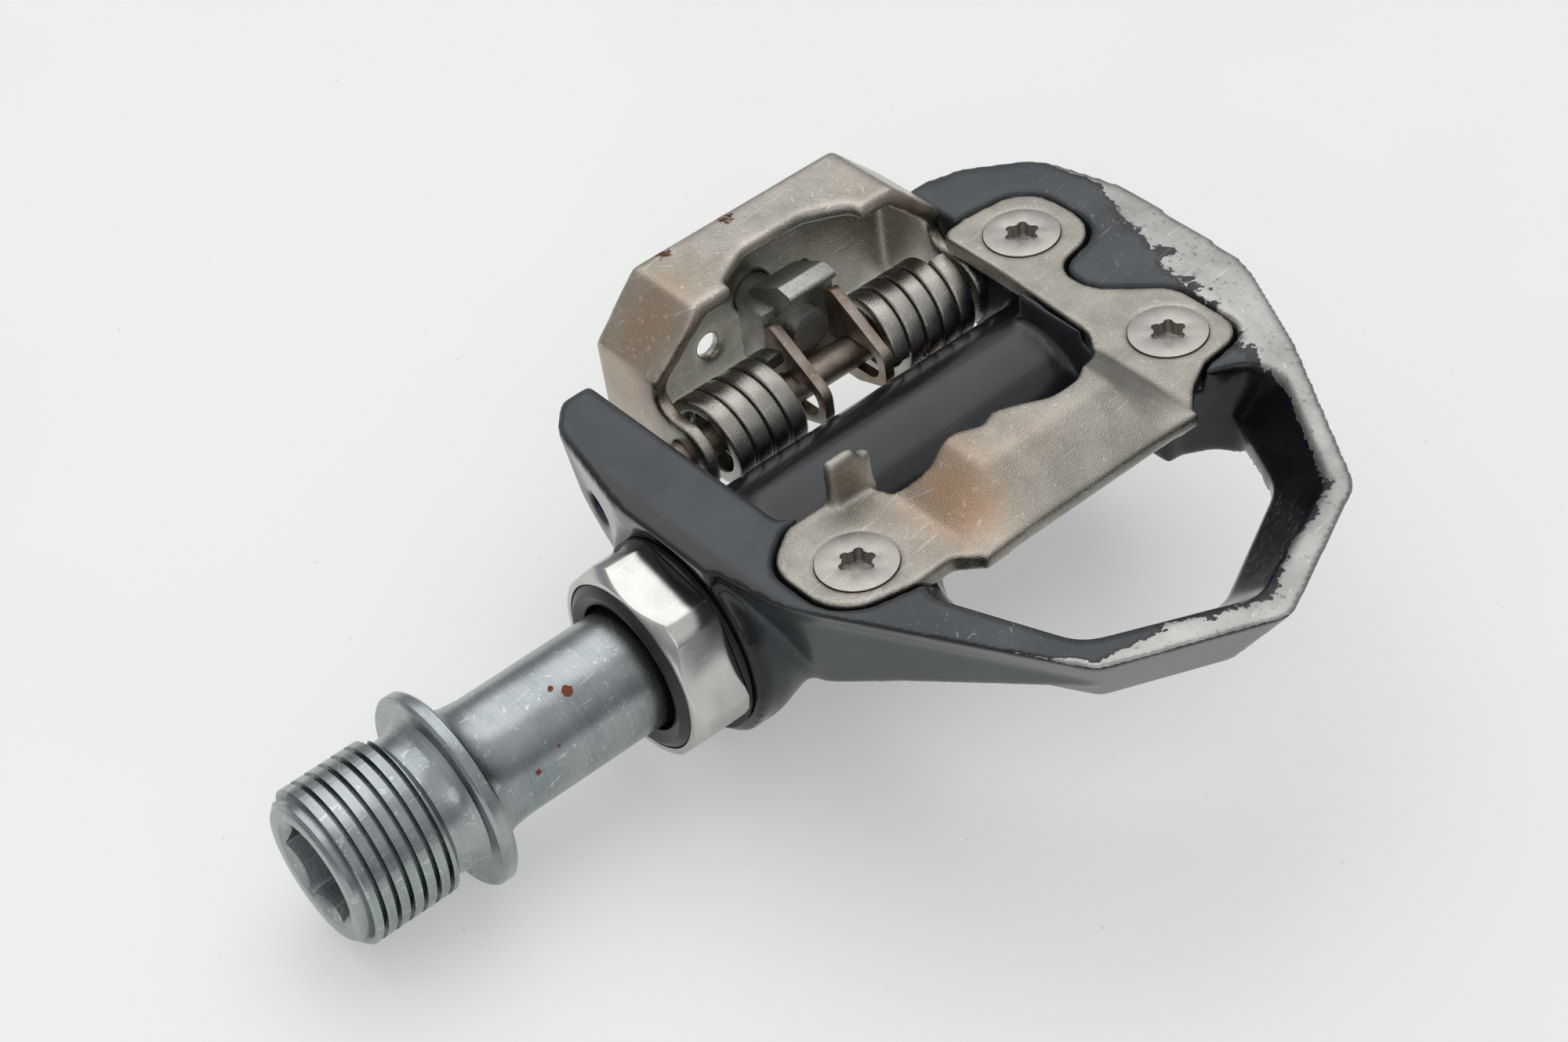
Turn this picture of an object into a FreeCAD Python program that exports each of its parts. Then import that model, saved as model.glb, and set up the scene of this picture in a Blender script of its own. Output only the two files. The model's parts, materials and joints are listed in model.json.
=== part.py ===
import FreeCAD, Part
import math
import os
import re

import Sketcher

V = FreeCAD.Vector
doc = FreeCAD.newDocument("clipless_pedal")

# ---------------------------------------------------------------------------
# Frame: +Y runs along the axle away from the crank, +X forward to the loop,
# +Z up to the shoe.  The origin is the centre of the flange face that seats
# on the crank.  All lengths are millimetres, all angles degrees.
# ---------------------------------------------------------------------------
DIMENSIONS = [
    # crank thread 9/16 in x 20 TPI and its seat
    ("thread_dia", 14.288), ("thread_len", 12.0), ("thread_relief", 3.2),
    ("neck_dia", 12.4), ("flange_dia", 17.7), ("flange_thick", 1.5),
    ("key_flats", 8.0), ("key_deep", 8.0),
    # spindle and bearing cartridge
    ("bore_dia", 14.4), ("ball_count", 12),
    ("lock_flats", 17.0), ("lock_turned_dia", 18.6), ("lock_front", 19.6),
    ("lock_hex_len", 5.2), ("running_gap", 0.04),
    # casting
    ("deck_height", 11.0), ("loop_depth", 9.5), ("barrel_dia", 16.8),
    ("boss_dia", 20.0), ("casting_face", 25.4), ("wing_side", 24.8),
    ("wing_past_pin", 7.9), ("bay_inboard", 33.0), ("bay_outboard", 69.5),
    ("centre_offset", 53.0), ("loop_tip", 43.2), ("loop_corner", 36.5),
    ("loop_corner_half", 14.5), ("rim_width", 2.6), ("outboard_side", 83.6),
    ("outer_flare", 33.0), ("inner_flare", 40.0),
    # cleat plate and its screws
    ("plate_thick", 1.8), ("lobe_radius", 5.2), ("bore_deep", 44.6),
    ("screw_a_x", 13.9), ("screw_a_y", 34.0), ("screw_b_x", 11.8),
    ("screw_b_y", 71.0), ("screw_c_x", -7.7), ("screw_c_y", 72.3),
    ("screw_head_dia", 6.9), ("screw_thread_dia", 4.0), ("screw_len", 7.5),
    ("screw_drive", 3.2), ("claw_front", 21.2), ("claw_rise", 3.8),
    ("crease_half", 11.95), ("claw_centre", 53.25),
    # rear claw, pin, springs and tension adjuster
    ("pin_space", 0.56), ("pin_z", 5.0), ("pin_dia", 3.0), ("clip_centre", 52.5),
    ("claw_half", 16.5), ("claw_sheet", 1.5), ("claw_top", 17.4),
    ("claw_past_pin", 10.9), ("lip_past_pin", 2.1), ("shoulder_half", 11.3),
    ("arm_top", 12.0), ("plate_space", 0.4), ("spring_dia", 9.0),
    ("spring_wire", 1.9), ("spring_pitch", 2.1), ("spring_turns", 4.0),
    ("spring_wall", 1.2), ("spring_inset", 1.9), ("bolt_z", 8.4),
    ("bolt_dia", 4.0), ("bolt_head_dia", 6.6), ("bolt_key", 3.0),
    ("nut_wide", 8.0), ("nut_travel", 2.0),
]

# Sizes that follow from others: the cartridge from its bore, the pin from the
# barrel it clears, the claw and wings from the pin.
FOLLOWING = [
    ("spindle_dia", "=bore_dia * 11 / 14.4"),
    ("journal_dia", "=bore_dia * 8 / 14.4"),
    ("axle_tip_dia", "=bore_dia * 6 / 14.4"),
    ("ball_dia", "=bore_dia * 2 / 14.4"),
    ("pin_x", "=-sqrt((barrel_dia / 2 + spring_dia / 2 + pin_space)^2 - pin_z^2)"),
    ("wing_rear", "=wing_past_pin - pin_x"),
    ("claw_back", "=claw_past_pin - pin_x"),
    ("claw_lip", "=lip_past_pin - pin_x"),
    ("arm_boss_dia", "=2 * (deck_height - plate_thick - pin_z - plate_space)"),
]

sheet = doc.addObject("Spreadsheet::Sheet", "dims")
for row, (alias, value) in enumerate(DIMENSIONS + FOLLOWING, start=1):
    sheet.set("A%d" % row, alias)
    sheet.set("B%d" % row, str(value))
    sheet.setAlias("B%d" % row, alias)
doc.recompute()
D = {alias: float(sheet.get(alias)) for alias, value in DIMENSIONS + FOLLOWING}
WORD = re.compile(r"[a-z_]+")


def link(text):
    """Expression text with every dimension name pointed at the sheet."""
    text = str(text)
    return WORD.sub(lambda m: "dims." + m.group(0) if m.group(0) in D else m.group(0), text)


def val(text):
    """Number that an expression of dimension names gives."""
    names = dict(D)
    for key in ("sqrt", "tan", "sin", "cos", "radians"):
        names[key] = getattr(math, key)
    return _number(str(text), names)


def _number(text, names):
    """Small arithmetic reader for sums, products and brackets of names."""
    tokens = re.findall(r"[a-z_]+|[0-9.]+|[-+*/()]", text)
    pos = [0]

    def atom():
        token = tokens[pos[0]]
        pos[0] += 1
        if token == "(":
            value = total()
            pos[0] += 1
            return value
        if token == "-":
            return -atom()
        if token in names:
            return names[token]
        return float(token)

    def product():
        value = atom()
        while pos[0] < len(tokens) and tokens[pos[0]] in "*/":
            sign = tokens[pos[0]]
            pos[0] += 1
            value = value * atom() if sign == "*" else value / atom()
        return value

    def total():
        value = product()
        while pos[0] < len(tokens) and tokens[pos[0]] in "+-":
            sign = tokens[pos[0]]
            pos[0] += 1
            value = value + product() if sign == "+" else value - product()
        return value

    return total()


# ---------------------------------------------------------------------------
# Builders: lathe-turned bodies, extruded bodies, primitives and booleans
# ---------------------------------------------------------------------------
AXIS_TURN = {
    "x": FreeCAD.Rotation(V(0, 0, 1), V(1, 0, 0)),
    "y": FreeCAD.Rotation(V(0, 0, 1), V(0, 1, 0)),
    "z": FreeCAD.Rotation(),
}


def plane_of(body, role):
    """Origin plane of a body, by its role."""
    return [f for f in body.Origin.OriginFeatures if f.Role == role][0]


def outline(body, name, role, points):
    """Closed sketch through points given as expression pairs."""
    sketch = body.newObject("Sketcher::SketchObject", name)
    sketch.AttachmentSupport = [(plane_of(body, role), "")]
    sketch.MapMode = "FlatFace"
    flat = [V(val(u), val(v), 0) for u, v in points]
    count = len(flat)
    for i in range(count):
        sketch.addGeometry(Part.LineSegment(flat[i], flat[(i + 1) % count]), False)
    for i in range(count):
        sketch.addConstraint(Sketcher.Constraint("Coincident", i, 2, (i + 1) % count, 1))
    for i, (u, v) in enumerate(points):
        for kind, text in (("DistanceX", u), ("DistanceY", v)):
            index = sketch.addConstraint(Sketcher.Constraint(kind, -1, 1, i, 1, val(text)))
            sketch.setExpression("Constraints[%d]" % index, link(text))
    return sketch


def lathe(name, points):
    """Body turned about the axle line; points are (radius, y)."""
    body = doc.addObject("PartDesign::Body", name)
    sketch = outline(body, name + "_profile", "XY_Plane", points)
    turn = body.newObject("PartDesign::Revolution", name + "_turned")
    turn.Profile = sketch
    turn.ReferenceAxis = (sketch, ["V_Axis"])
    turn.Angle = 360.0
    sketch.Visibility = False
    body.Tip = turn
    return body


def place(obj, x, y, z, axis):
    """Put a primitive at expressions x, y, z with its axis along x, y or z."""
    obj.Placement = FreeCAD.Placement(V(0, 0, 0), AXIS_TURN[axis])
    for key, text in zip("xyz", (x, y, z)):
        obj.setExpression("Placement.Base." + key, link(text))
    return obj


def rod(name, radius, length, x, y, z, axis="y"):
    """Plain cylinder starting at x, y, z."""
    obj = doc.addObject("Part::Cylinder", name)
    obj.setExpression("Radius", link(radius))
    obj.setExpression("Height", link(length))
    return place(obj, x, y, z, axis)


def cone(name, r_start, r_end, length, x, y, z, axis="y"):
    """Frustum starting at x, y, z."""
    obj = doc.addObject("Part::Cone", name)
    obj.setExpression("Radius1", link(r_start))
    obj.setExpression("Radius2", link(r_end))
    obj.setExpression("Height", link(length))
    return place(obj, x, y, z, axis)


def hexagon(name, flats, length, x, y, z, axis="y"):
    """Hexagonal prism of the given size across flats."""
    obj = doc.addObject("Part::Prism", name)
    obj.Polygon = 6
    obj.setExpression("Circumradius", link("(%s) / 1.7320508" % flats))
    obj.setExpression("Height", link(length))
    return place(obj, x, y, z, axis)


def box(name, x_size, y_size, z_size, x, y, z):
    """Square block with its lowest corner at x, y, z."""
    obj = doc.addObject("Part::Box", name)
    obj.setExpression("Length", link(x_size))
    obj.setExpression("Width", link(y_size))
    obj.setExpression("Height", link(z_size))
    return place(obj, x, y, z, "z")


def cut(name, base, *tools):
    """Base with every tool taken away."""
    result = base
    for i, tool in enumerate(tools):
        last = i == len(tools) - 1
        step = doc.addObject("Part::Cut", name if last else "%s_step_%d" % (name, i))
        step.Base = result
        step.Tool = tool
        result = step
    return result


def fuse(name, *pieces):
    """Pieces joined into one."""
    obj = doc.addObject("Part::MultiFuse", name)
    obj.Shapes = list(pieces)
    obj.Refine = True
    return obj


def common(name, first, second):
    """Volume shared by two shapes."""
    obj = doc.addObject("Part::Common", name)
    obj.Base = first
    obj.Tool = second
    return obj


def shaped(name, shape):
    """Free-form shape carried as a feature."""
    obj = doc.addObject("Part::Feature", name)
    obj.Shape = shape
    return obj


def inset(points, distance):
    """Closed outline (x, y, corner radius) moved inward by a distance."""
    count = len(points)
    area = 0.0
    for i in range(count):
        x0, y0 = points[i][:2]
        x1, y1 = points[(i + 1) % count][:2]
        area += x0 * y1 - x1 * y0
    side = 1.0 if area > 0 else -1.0
    moved = []
    for i in range(count):
        before, here, after = points[i - 1], points[i], points[(i + 1) % count]
        d1 = V(here[0] - before[0], here[1] - before[1], 0).normalize()
        d2 = V(after[0] - here[0], after[1] - here[1], 0).normalize()
        n1 = V(-d1.y, d1.x, 0) * side
        n2 = V(-d2.y, d2.x, 0) * side
        shift = (n1 + n2) * (distance / (1.0 + n1.dot(n2)))
        outward_turn = side * (d1.x * d2.y - d1.y * d2.x) > 0
        radius = here[2]
        if radius > 0:
            radius = max(0.3, radius - distance) if outward_turn else max(0.3, radius + distance)
        moved.append((here[0] + shift.x, here[1] + shift.y, radius))
    return moved


def rounded(points, z):
    """Wire at height z through the points, every corner rounded by its radius."""
    count = len(points)
    corners = []
    for i in range(count):
        before, here, after = points[i - 1], points[i], points[(i + 1) % count]
        at = V(here[0], here[1], z)
        to_before = V(before[0] - here[0], before[1] - here[1], 0)
        to_after = V(after[0] - here[0], after[1] - here[1], 0)
        if here[2] <= 0:
            corners.append((at, None, at))
            continue
        half = to_before.getAngle(to_after) / 2
        reach = here[2] / math.tan(half)
        reach = min(reach, 0.49 * to_before.Length, 0.49 * to_after.Length)
        radius = reach * math.tan(half)
        start = at + to_before.normalize() * reach
        end = at + to_after.normalize() * reach
        inward = (start + end) * 0.5 - at
        centre = at + inward.normalize() * (radius / math.sin(half))
        middle = centre + (at - centre).normalize() * radius
        corners.append((start, middle, end))
    edges = []
    for i in range(count):
        start, middle, end = corners[i]
        if middle is not None:
            edges.append(Part.Arc(start, middle, end).toShape())
        follow = corners[(i + 1) % count][0]
        if (follow - end).Length > 1e-6:
            edges.append(Part.makeLine(end, follow))
    return Part.Wire(edges)


def slab(points, z_low, z_high):
    """Upright block with a rounded outline."""
    face = Part.Face(rounded(points, z_low))
    return face.extrude(V(0, 0, z_high - z_low))


def flared(points, z_high, drop, angle):
    """Block whose sides lean inward on the way down by the angle."""
    lean = drop * math.tan(math.radians(angle))
    wires = [rounded(points, z_high), rounded(inset(points, lean), z_high - drop)]
    return Part.makeLoft(wires, True, True)


def side_slab(points, y_low, y_high):
    """Block between two y planes with an outline of (x, z, corner radius)."""
    flat = slab(points, -y_high, -y_low)
    flat.rotate(V(0, 0, 0), V(1, 0, 0), 90)
    return flat


NODES = []


def node(obj, label):
    """Mark a finished piece as one named node of the part."""
    obj.Label = label
    NODES.append(obj)
    return obj


# ---------------------------------------------------------------------------
# Axle: threaded end with hex socket, flange, tapering spindle, inner journal
# ---------------------------------------------------------------------------
GRIP = "(thread_dia / 2)"
SPINDLE = "(spindle_dia / 2)"
JOURNAL = "(journal_dia / 2)"
JOURNAL_END = "(casting_face + 38.4)"
AXLE_END = "(casting_face + 44.0)"
axle_turned = lathe("axle_blank", [
    ("0", "-thread_len"),
    (GRIP + " - 1.1", "-thread_len"),
    (GRIP, "-thread_len + 1.1"),
    (GRIP, "-thread_relief"),
    ("neck_dia / 2", "-thread_relief + 0.6"),
    ("neck_dia / 2 + 0.25", "-0.9"),
    ("neck_dia / 2 + 0.9", "0"),
    ("flange_dia / 2 - 0.3", "0"),
    ("flange_dia / 2", "0.3"),
    ("flange_dia / 2", "flange_thick - 0.3"),
    ("flange_dia / 2 - 0.3", "flange_thick"),
    (SPINDLE + " + 1.5", "flange_thick"),
    (SPINDLE + " + 0.7", "flange_thick + 0.8"),
    (SPINDLE + " + 0.2", "flange_thick + 2.2"),
    (SPINDLE, "flange_thick + 4.0"),
    (SPINDLE, "lock_front + 3.4"),
    (JOURNAL, "lock_front + 5.0"),
    (JOURNAL, JOURNAL_END),
    ("axle_tip_dia / 2", JOURNAL_END),
    ("axle_tip_dia / 2", AXLE_END + " - 0.6"),
    ("axle_tip_dia / 2 - 0.6", AXLE_END),
    ("0", AXLE_END),
])
key_socket = hexagon("axle_key_socket", "key_flats", "key_deep", "0", "-thread_len", "0")
key_lead = cone("axle_key_lead", "key_flats / 1.7320508 + 0.3", "key_flats / 2 - 0.1", "0.7",
                "0", "-thread_len", "0")
node(cut("axle_solid", axle_turned, key_socket, key_lead), "axle")

# ---------------------------------------------------------------------------
# Bearing cartridge: lock bolt, seal, cups, balls, bushing, cone and nut
# ---------------------------------------------------------------------------
BORE = "(bore_dia / 2)"
SLEEVE = "(bore_dia / 2 - running_gap)"
BALL = "(ball_dia / 2)"
RACE = "(journal_dia / 2 + ball_dia + 0.02)"
LOCK_BACK = "(lock_front + lock_hex_len)"
SEAL_SEAT = "(lock_flats / 2 - 0.6)"
lock_blank = hexagon("lock_blank", "lock_flats", "lock_hex_len", "0", "lock_front", "0")
lock_blank.Placement = FreeCAD.Placement(
    V(0, 0, 0), FreeCAD.Rotation(V(0, 1, 0), 10.6).multiply(AXIS_TURN["y"]))
lock_blank.setExpression("Placement.Base.y", "dims.lock_front")
lock_turned = rod("lock_turned", "lock_turned_dia / 2", "lock_hex_len", "0", "lock_front", "0")
lock_lead = cone("lock_lead", "lock_turned_dia / 2 - 0.9", "lock_turned_dia / 2 + 8.1", "9.0",
                 "0", "lock_front", "0")
lock_head = common("lock_head_turned", lock_blank, lock_turned)
lock_head_lead = common("lock_head", lock_head, lock_lead)
lock_collar = rod("lock_collar", "lock_turned_dia / 2 - 0.9", "0.5", "0", LOCK_BACK, "0")
lock_sleeve = rod("lock_sleeve", SLEEVE, "9.6", "0", LOCK_BACK, "0")
lock_all = fuse("lock_all", lock_head_lead, lock_collar, lock_sleeve)
lock_seat = rod("lock_seal_seat", SEAL_SEAT, "2.6", "0", "lock_front - 0.1", "0")
lock_bore = rod("lock_bore", SPINDLE + " + 0.7", "20.0", "0", "lock_front - 1", "0")
lock_cup_seat = rod("lock_cup_seat", "bore_dia / 2 - 0.6", "12.0", "0", LOCK_BACK + " + 3.4", "0")
node(cut("lock_solid", lock_all, lock_seat, lock_bore, lock_cup_seat), "lock_bolt")

SEAL_OUT = "(lock_flats / 2 - 0.64)"
node(lathe("dust_seal_body", [
    (SPINDLE + " + 0.5", "lock_front - 0.1"),
    (SEAL_OUT + " - 0.8", "lock_front - 0.5"),
    (SEAL_OUT, "lock_front + 0.1"),
    (SEAL_OUT, "lock_front + 2.3"),
    (SPINDLE + " + 0.9", "lock_front + 2.3"),
    (SPINDLE + " + 0.5", "lock_front + 1.6"),
]), "dust_seal")

RING_IN = "(lock_turned_dia / 2 - 0.88)"
node(lathe("gap_ring_body", [
    (RING_IN, LOCK_BACK + " + 0.04"),
    (RING_IN + " + 0.66", LOCK_BACK + " + 0.04"),
    (RING_IN + " + 0.66", LOCK_BACK + " + 0.46"),
    (RING_IN, LOCK_BACK + " + 0.46"),
]), "gap_ring")


def ball_set(name, y_text):
    """Ring of loose balls round the journal, kept as separate solids."""
    pitch_r = val(JOURNAL) + val(BALL) + 0.01
    count = int(D["ball_count"])
    balls = []
    for i in range(count):
        turn = 2 * math.pi * i / count
        centre = V(pitch_r * math.cos(turn), val(y_text), pitch_r * math.sin(turn))
        balls.append(Part.makeSphere(val(BALL), centre))
    return shaped(name, Part.makeCompound(balls))


INNER_BALL_Y = "(lock_front + lock_hex_len + 5.2)"
OUTER_BALL_Y = "(casting_face + 36.0)"
node(lathe("inner_cup_body", [
    (RACE, LOCK_BACK + " + 3.5"),
    ("bore_dia / 2 - 0.64", LOCK_BACK + " + 3.5"),
    ("bore_dia / 2 - 0.64", LOCK_BACK + " + 9.0"),
    (RACE, LOCK_BACK + " + 9.0"),
]), "inner_cup")
node(ball_set("inner_ball_set", INNER_BALL_Y), "inner_balls")
node(lathe("bushing_body", [
    (JOURNAL + " + running_gap", LOCK_BACK + " + 9.9"),
    (SLEEVE, LOCK_BACK + " + 9.9"),
    (SLEEVE, "casting_face + 33.6"),
    (JOURNAL + " + running_gap", "casting_face + 33.6"),
]), "bushing")
node(lathe("outer_cup_body", [
    (RACE, "casting_face + 33.8"),
    (SLEEVE, "casting_face + 33.8"),
    (SLEEVE, "casting_face + 38.2"),
    (RACE, "casting_face + 38.2"),
]), "outer_cup")
node(ball_set("outer_ball_set", OUTER_BALL_Y), "outer_balls")
node(lathe("cone_body", [
    ("axle_tip_dia / 2 + running_gap", JOURNAL_END + " + 0.05"),
    ("journal_dia / 2 + 0.6", JOURNAL_END + " + 0.05"),
    ("journal_dia / 2 + 1.0", JOURNAL_END + " + 0.6"),
    ("journal_dia / 2 + 1.0", JOURNAL_END + " + 2.4"),
    ("axle_tip_dia / 2 + running_gap", JOURNAL_END + " + 2.4"),
]), "bearing_cone")
nut_blank = hexagon("nut_blank", "journal_dia + 1.4", "2.6", "0", JOURNAL_END + " + 2.5", "0")
nut_hole = rod("nut_hole", "axle_tip_dia / 2 + running_gap", "5.0", "0", JOURNAL_END + " + 2.0", "0")
node(cut("nut_solid", nut_blank, nut_hole), "lock_nut")

# ---------------------------------------------------------------------------
# Casting: flared loop, two rear wings, barrel with boss, screw and pin holes
# ---------------------------------------------------------------------------
DECK = D["deck_height"]
DEPTH = D["loop_depth"]
MID = D["centre_offset"]
TIP = D["loop_tip"]
CORNER = D["loop_corner"]
HALF = D["loop_corner_half"]
REAR = -D["wing_rear"]
SIDE = D["wing_side"]
FAR = D["outboard_side"]
IN_WALL = D["bay_inboard"]
OUT_WALL = D["bay_outboard"]
RIM = D["rim_width"]
A = V(D["screw_a_x"], D["screw_a_y"], 0)
B = V(D["screw_b_x"], D["screw_b_y"], 0)
C = V(D["screw_c_x"], D["screw_c_y"], 0)
BARREL = D["barrel_dia"] / 2

front_edge = [
    (CORNER, MID - HALF, 2.5),
    (TIP, MID, 2.0),
    (CORNER, MID + HALF, 2.5),
]
loop_outline = [
    (REAR - 14.0, SIDE + 0.2, 0),
    (5.0, SIDE + 0.2, 12.0),
    (13.5, SIDE + 1.4, 12.0),
    *front_edge,
    (21.0, FAR - 6.4, 16.0),
    (10.0, FAR - 0.9, 12.0),
    (-6.0, FAR, 14.0),
    (-15.0, FAR - 2.2, 6.0),
    (REAR + 1.0, FAR - 8.0, 4.0),
    (REAR, FAR - 11.6, 1.2),
    (REAR, MID + 5.0, 0),
    (REAR - 14.0, MID + 5.0, 0),
]
loop_solid = flared(loop_outline, DECK, DEPTH, D["outer_flare"])

# The loop opening narrows on the way down, then drops straight.
WELL = 5.6
opening_rim = [
    (A.x + 4.4, A.y + 3.6, 2.0),
    (A.x + 6.4, A.y + 1.0, 3.0),
    (CORNER - 3.0, MID - HALF + 1.4, 4.0),
    (TIP - 3.2, MID, 3.0),
    (CORNER - 1.6, MID + HALF - 1.4, 5.0),
    (B.x + 9.0, B.y + 4.0, 6.0),
    (B.x + 5.6, B.y - 2.6, 2.0),
]
opening_low = [
    (A.x + 3.4, A.y + 5.2, 2.0),
    (A.x + 8.4, A.y + 5.4, 3.0),
    (CORNER - 6.6, MID - HALF + 4.6, 5.0),
    (TIP - 8.6, MID + 0.6, 4.0),
    (CORNER - 8.8, MID + HALF - 0.4, 5.0),
    (B.x + 7.2, B.y + 0.6, 5.0),
    (B.x + 4.6, B.y - 3.4, 2.0),
]
well = Part.makeLoft([rounded(opening_rim, DECK + 0.01), rounded(opening_low, DECK - WELL)], True, True)
through = slab(opening_low, DECK - 2 * DEPTH - 1.0, DECK - WELL)
clip_bay = slab([
    (REAR - 10.0, IN_WALL, 0),
    (5.6, IN_WALL, 1.5),
    (A.x - 5.6, A.y + 5.6, 2.0),
    (A.x + 5.0, A.y + 5.6, 0),
    (B.x + 5.0, B.y - 5.0, 0),
    (-2.5, B.y - 5.0, 1.5),
    (-2.5, OUT_WALL, 1.0),
    (REAR - 10.0, OUT_WALL, 0),
], -9.0, DECK + 0.5)
rear_space = Part.makeBox(58, OUT_WALL - SIDE + 10, 30, V(-60.0, SIDE - 10, DECK - 20))
loop_solid = loop_solid.cut(rear_space)

# Inboard wing: a tapering arm that reaches back from the boss.
wing_plan = [
    (6.0, SIDE, 0),
    (-6.5, SIDE, 8.0),
    (REAR + 3.0, SIDE + 2.4, 3.0),
    (REAR, SIDE + 4.8, 2.0),
    (REAR, IN_WALL + 3.0, 0),
    (6.0, IN_WALL + 3.0, 0),
]
wing_profile = [
    (6.0, DECK, 0),
    (REAR - 1.0, DECK, 0.8),
    (REAR - 1.0, DECK - 3.2, 1.5),
    (D["pin_x"] - 3.0, 1.4, 3.0),
    (-7.0, -3.0, 3.0),
    (6.0, -6.0, 0),
]
wing_shape = flared(wing_plan, DECK, 16.0, 7.0)
wing_shape = wing_shape.common(side_slab(wing_profile, SIDE - 5.0, IN_WALL + 0.6))
bolt_space = Part.makeCylinder(D["boss_dia"] / 2 + 0.1, 8.0, V(0, D["casting_face"] - 8.0, 0), V(0, 1, 0))
wing_shape = wing_shape.cut(bolt_space)

# Outboard wing reaches lower so that the pin end is well inside it.
far_plan = [
    (4.0, OUT_WALL - 3.0, 0),
    (4.0, FAR - 4.4, 0),
    (-12.0, FAR - 4.6, 6.0),
    (REAR + 1.8, FAR - 9.4, 3.0),
    (REAR + 1.0, OUT_WALL - 3.0, 0),
]
far_profile = [
    (4.0, DECK - 0.5, 0),
    (REAR - 1.0, DECK - 0.5, 0.8),
    (REAR - 1.0, DECK - 3.6, 1.5),
    (D["pin_x"] - 3.4, 1.2, 3.0),
    (-7.0, -3.0, 3.0),
    (4.0, -6.0, 0),
]
far_shape = flared(far_plan, DECK, 17.0, 15.0).common(side_slab(far_profile, OUT_WALL - 0.6, FAR))

# Barrel and boss round the bearing bore, closed at the outboard end.
FACE = D["casting_face"]
BARREL_END = OUT_WALL + 3.5
boss_r = D["boss_dia"] / 2
barrel_edge = [
    V(0, FACE, 0), V(boss_r, FACE, 0), V(boss_r, FACE + 3.0, 0), V(BARREL, FACE + 9.0, 0),
    V(BARREL, BARREL_END, 0), V(BARREL - 4.0, BARREL_END + 4.0, 0), V(0, BARREL_END + 4.0, 0),
]
barrel = Part.Face(Part.makePolygon(barrel_edge + [barrel_edge[0]]))
barrel = barrel.revolve(V(0, 0, 0), V(0, 1, 0), 360)

# The boss runs out into the inboard rail along a web that gets shallower.
web_plan = [
    (2.0, FACE, 0),
    (12.5, SIDE + 2.2, 10.0),
    (CORNER - 1.2, MID - HALF + 1.2, 0),
    (CORNER - 4.0, MID - 1.0, 0),
    (2.0, MID - 1.0, 0),
]
web_profile = [
    (1.0, DECK - 1.0, 0),
    (CORNER + 1.0, DECK - 1.0, 0),
    (CORNER + 1.0, DECK - 4.2, 0),
    (A.x + 4.0, DECK - 11.2, 8.0),
    (1.0, DECK - 18.6, 0),
]
web = flared(web_plan, DECK - 1.0, 18.0, 20.0).common(side_slab(web_profile, FACE - 1.0, MID))
far_web = flared([
    (2.0, OUT_WALL - 1.0, 0),
    (B.x - 3.0, B.y - 4.6, 2.0),
    (B.x + 4.0, B.y - 2.0, 2.0),
    (B.x + 4.0, B.y + 7.0, 3.0),
    (2.0, B.y + 7.0, 0),
], DECK - 1.0, 14.0, 20.0)


def main_solid(shape):
    """Largest solid of a result, without slivers left by touching faces."""
    return max(shape.Solids, key=lambda solid: solid.Volume)


casting_shape = loop_solid
for lump in (wing_shape, far_shape, web, far_web):
    casting_shape = main_solid(casting_shape.fuse(lump))
for space in (well.fuse(through), clip_bay):
    casting_shape = main_solid(casting_shape.cut(space))
casting_shape = main_solid(casting_shape.fuse(barrel)).removeSplitter()
casting_blank = shaped("casting_blank", casting_shape)

casting_bore = rod("casting_bore", BORE, "bore_deep", "0", "casting_face", "0")
casting_mouth = cone("casting_mouth", BORE + " + 0.7", BORE, "0.7", "0", "casting_face", "0")
pin_hole = rod("pin_hole", "pin_dia / 2 + 0.02", "50.0", "pin_x", "wing_side - 1.0", "pin_z")

# Plate pocket with one lobe round each screw, cut to the plate thickness.
FLOOR = DECK - D["plate_thick"]
LOBE = D["lobe_radius"]
FIT = 0.25


def plate_outline(grow):
    """Plan of the flat plate, grown all round by a clearance."""
    reach = LOBE
    points = [
        (A.x - 7.2, A.y - 1.4, 1.6),
        (A.x - 4.6, A.y - reach, 4.0),
        (A.x + 3.6, A.y - reach, 4.6),
        (A.x + 5.3, A.y + 2.0, 2.6),
        (A.x + 5.2, A.y + 5.6, 1.2),
        (D["claw_front"], MID - 11.2, 1.0),
        (D["claw_front"], MID + 11.4, 1.0),
        (B.x + 6.6, B.y - 3.6, 3.0),
        (B.x + 5.0, B.y - 0.6, 2.6),
        (B.x + 4.6, B.y + 4.6, 4.4),
        (B.x - 4.0, B.y + 4.8, 4.0),
        (B.x - 9.2, B.y - 0.2, 4.6),
        (C.x + 5.8, C.y - 1.4, 3.0),
        (C.x + 4.6, C.y + 5.2, 4.4),
        (C.x - 4.8, C.y + 5.2, 4.2),
        (C.x - 5.6, C.y - 2.0, 1.4),
        (C.x - 5.2, C.y - 5.0, 1.0),
        (C.x + 1.5, C.y - 5.0, 2.0),
        (B.x - 5.0, B.y - 4.5, 3.0),
        (B.x - 3.0, B.y - 6.0, 1.0),
        (A.x - 4.0, A.y + 7.4, 2.0),
        (A.x - 6.0, A.y + 6.6, 1.0),
        (A.x - 7.4, A.y + 6.8, 0.6),
        (A.x - 7.2, A.y + 2.2, 1.4),
    ]
    return inset(points, -grow) if grow else points


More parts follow.
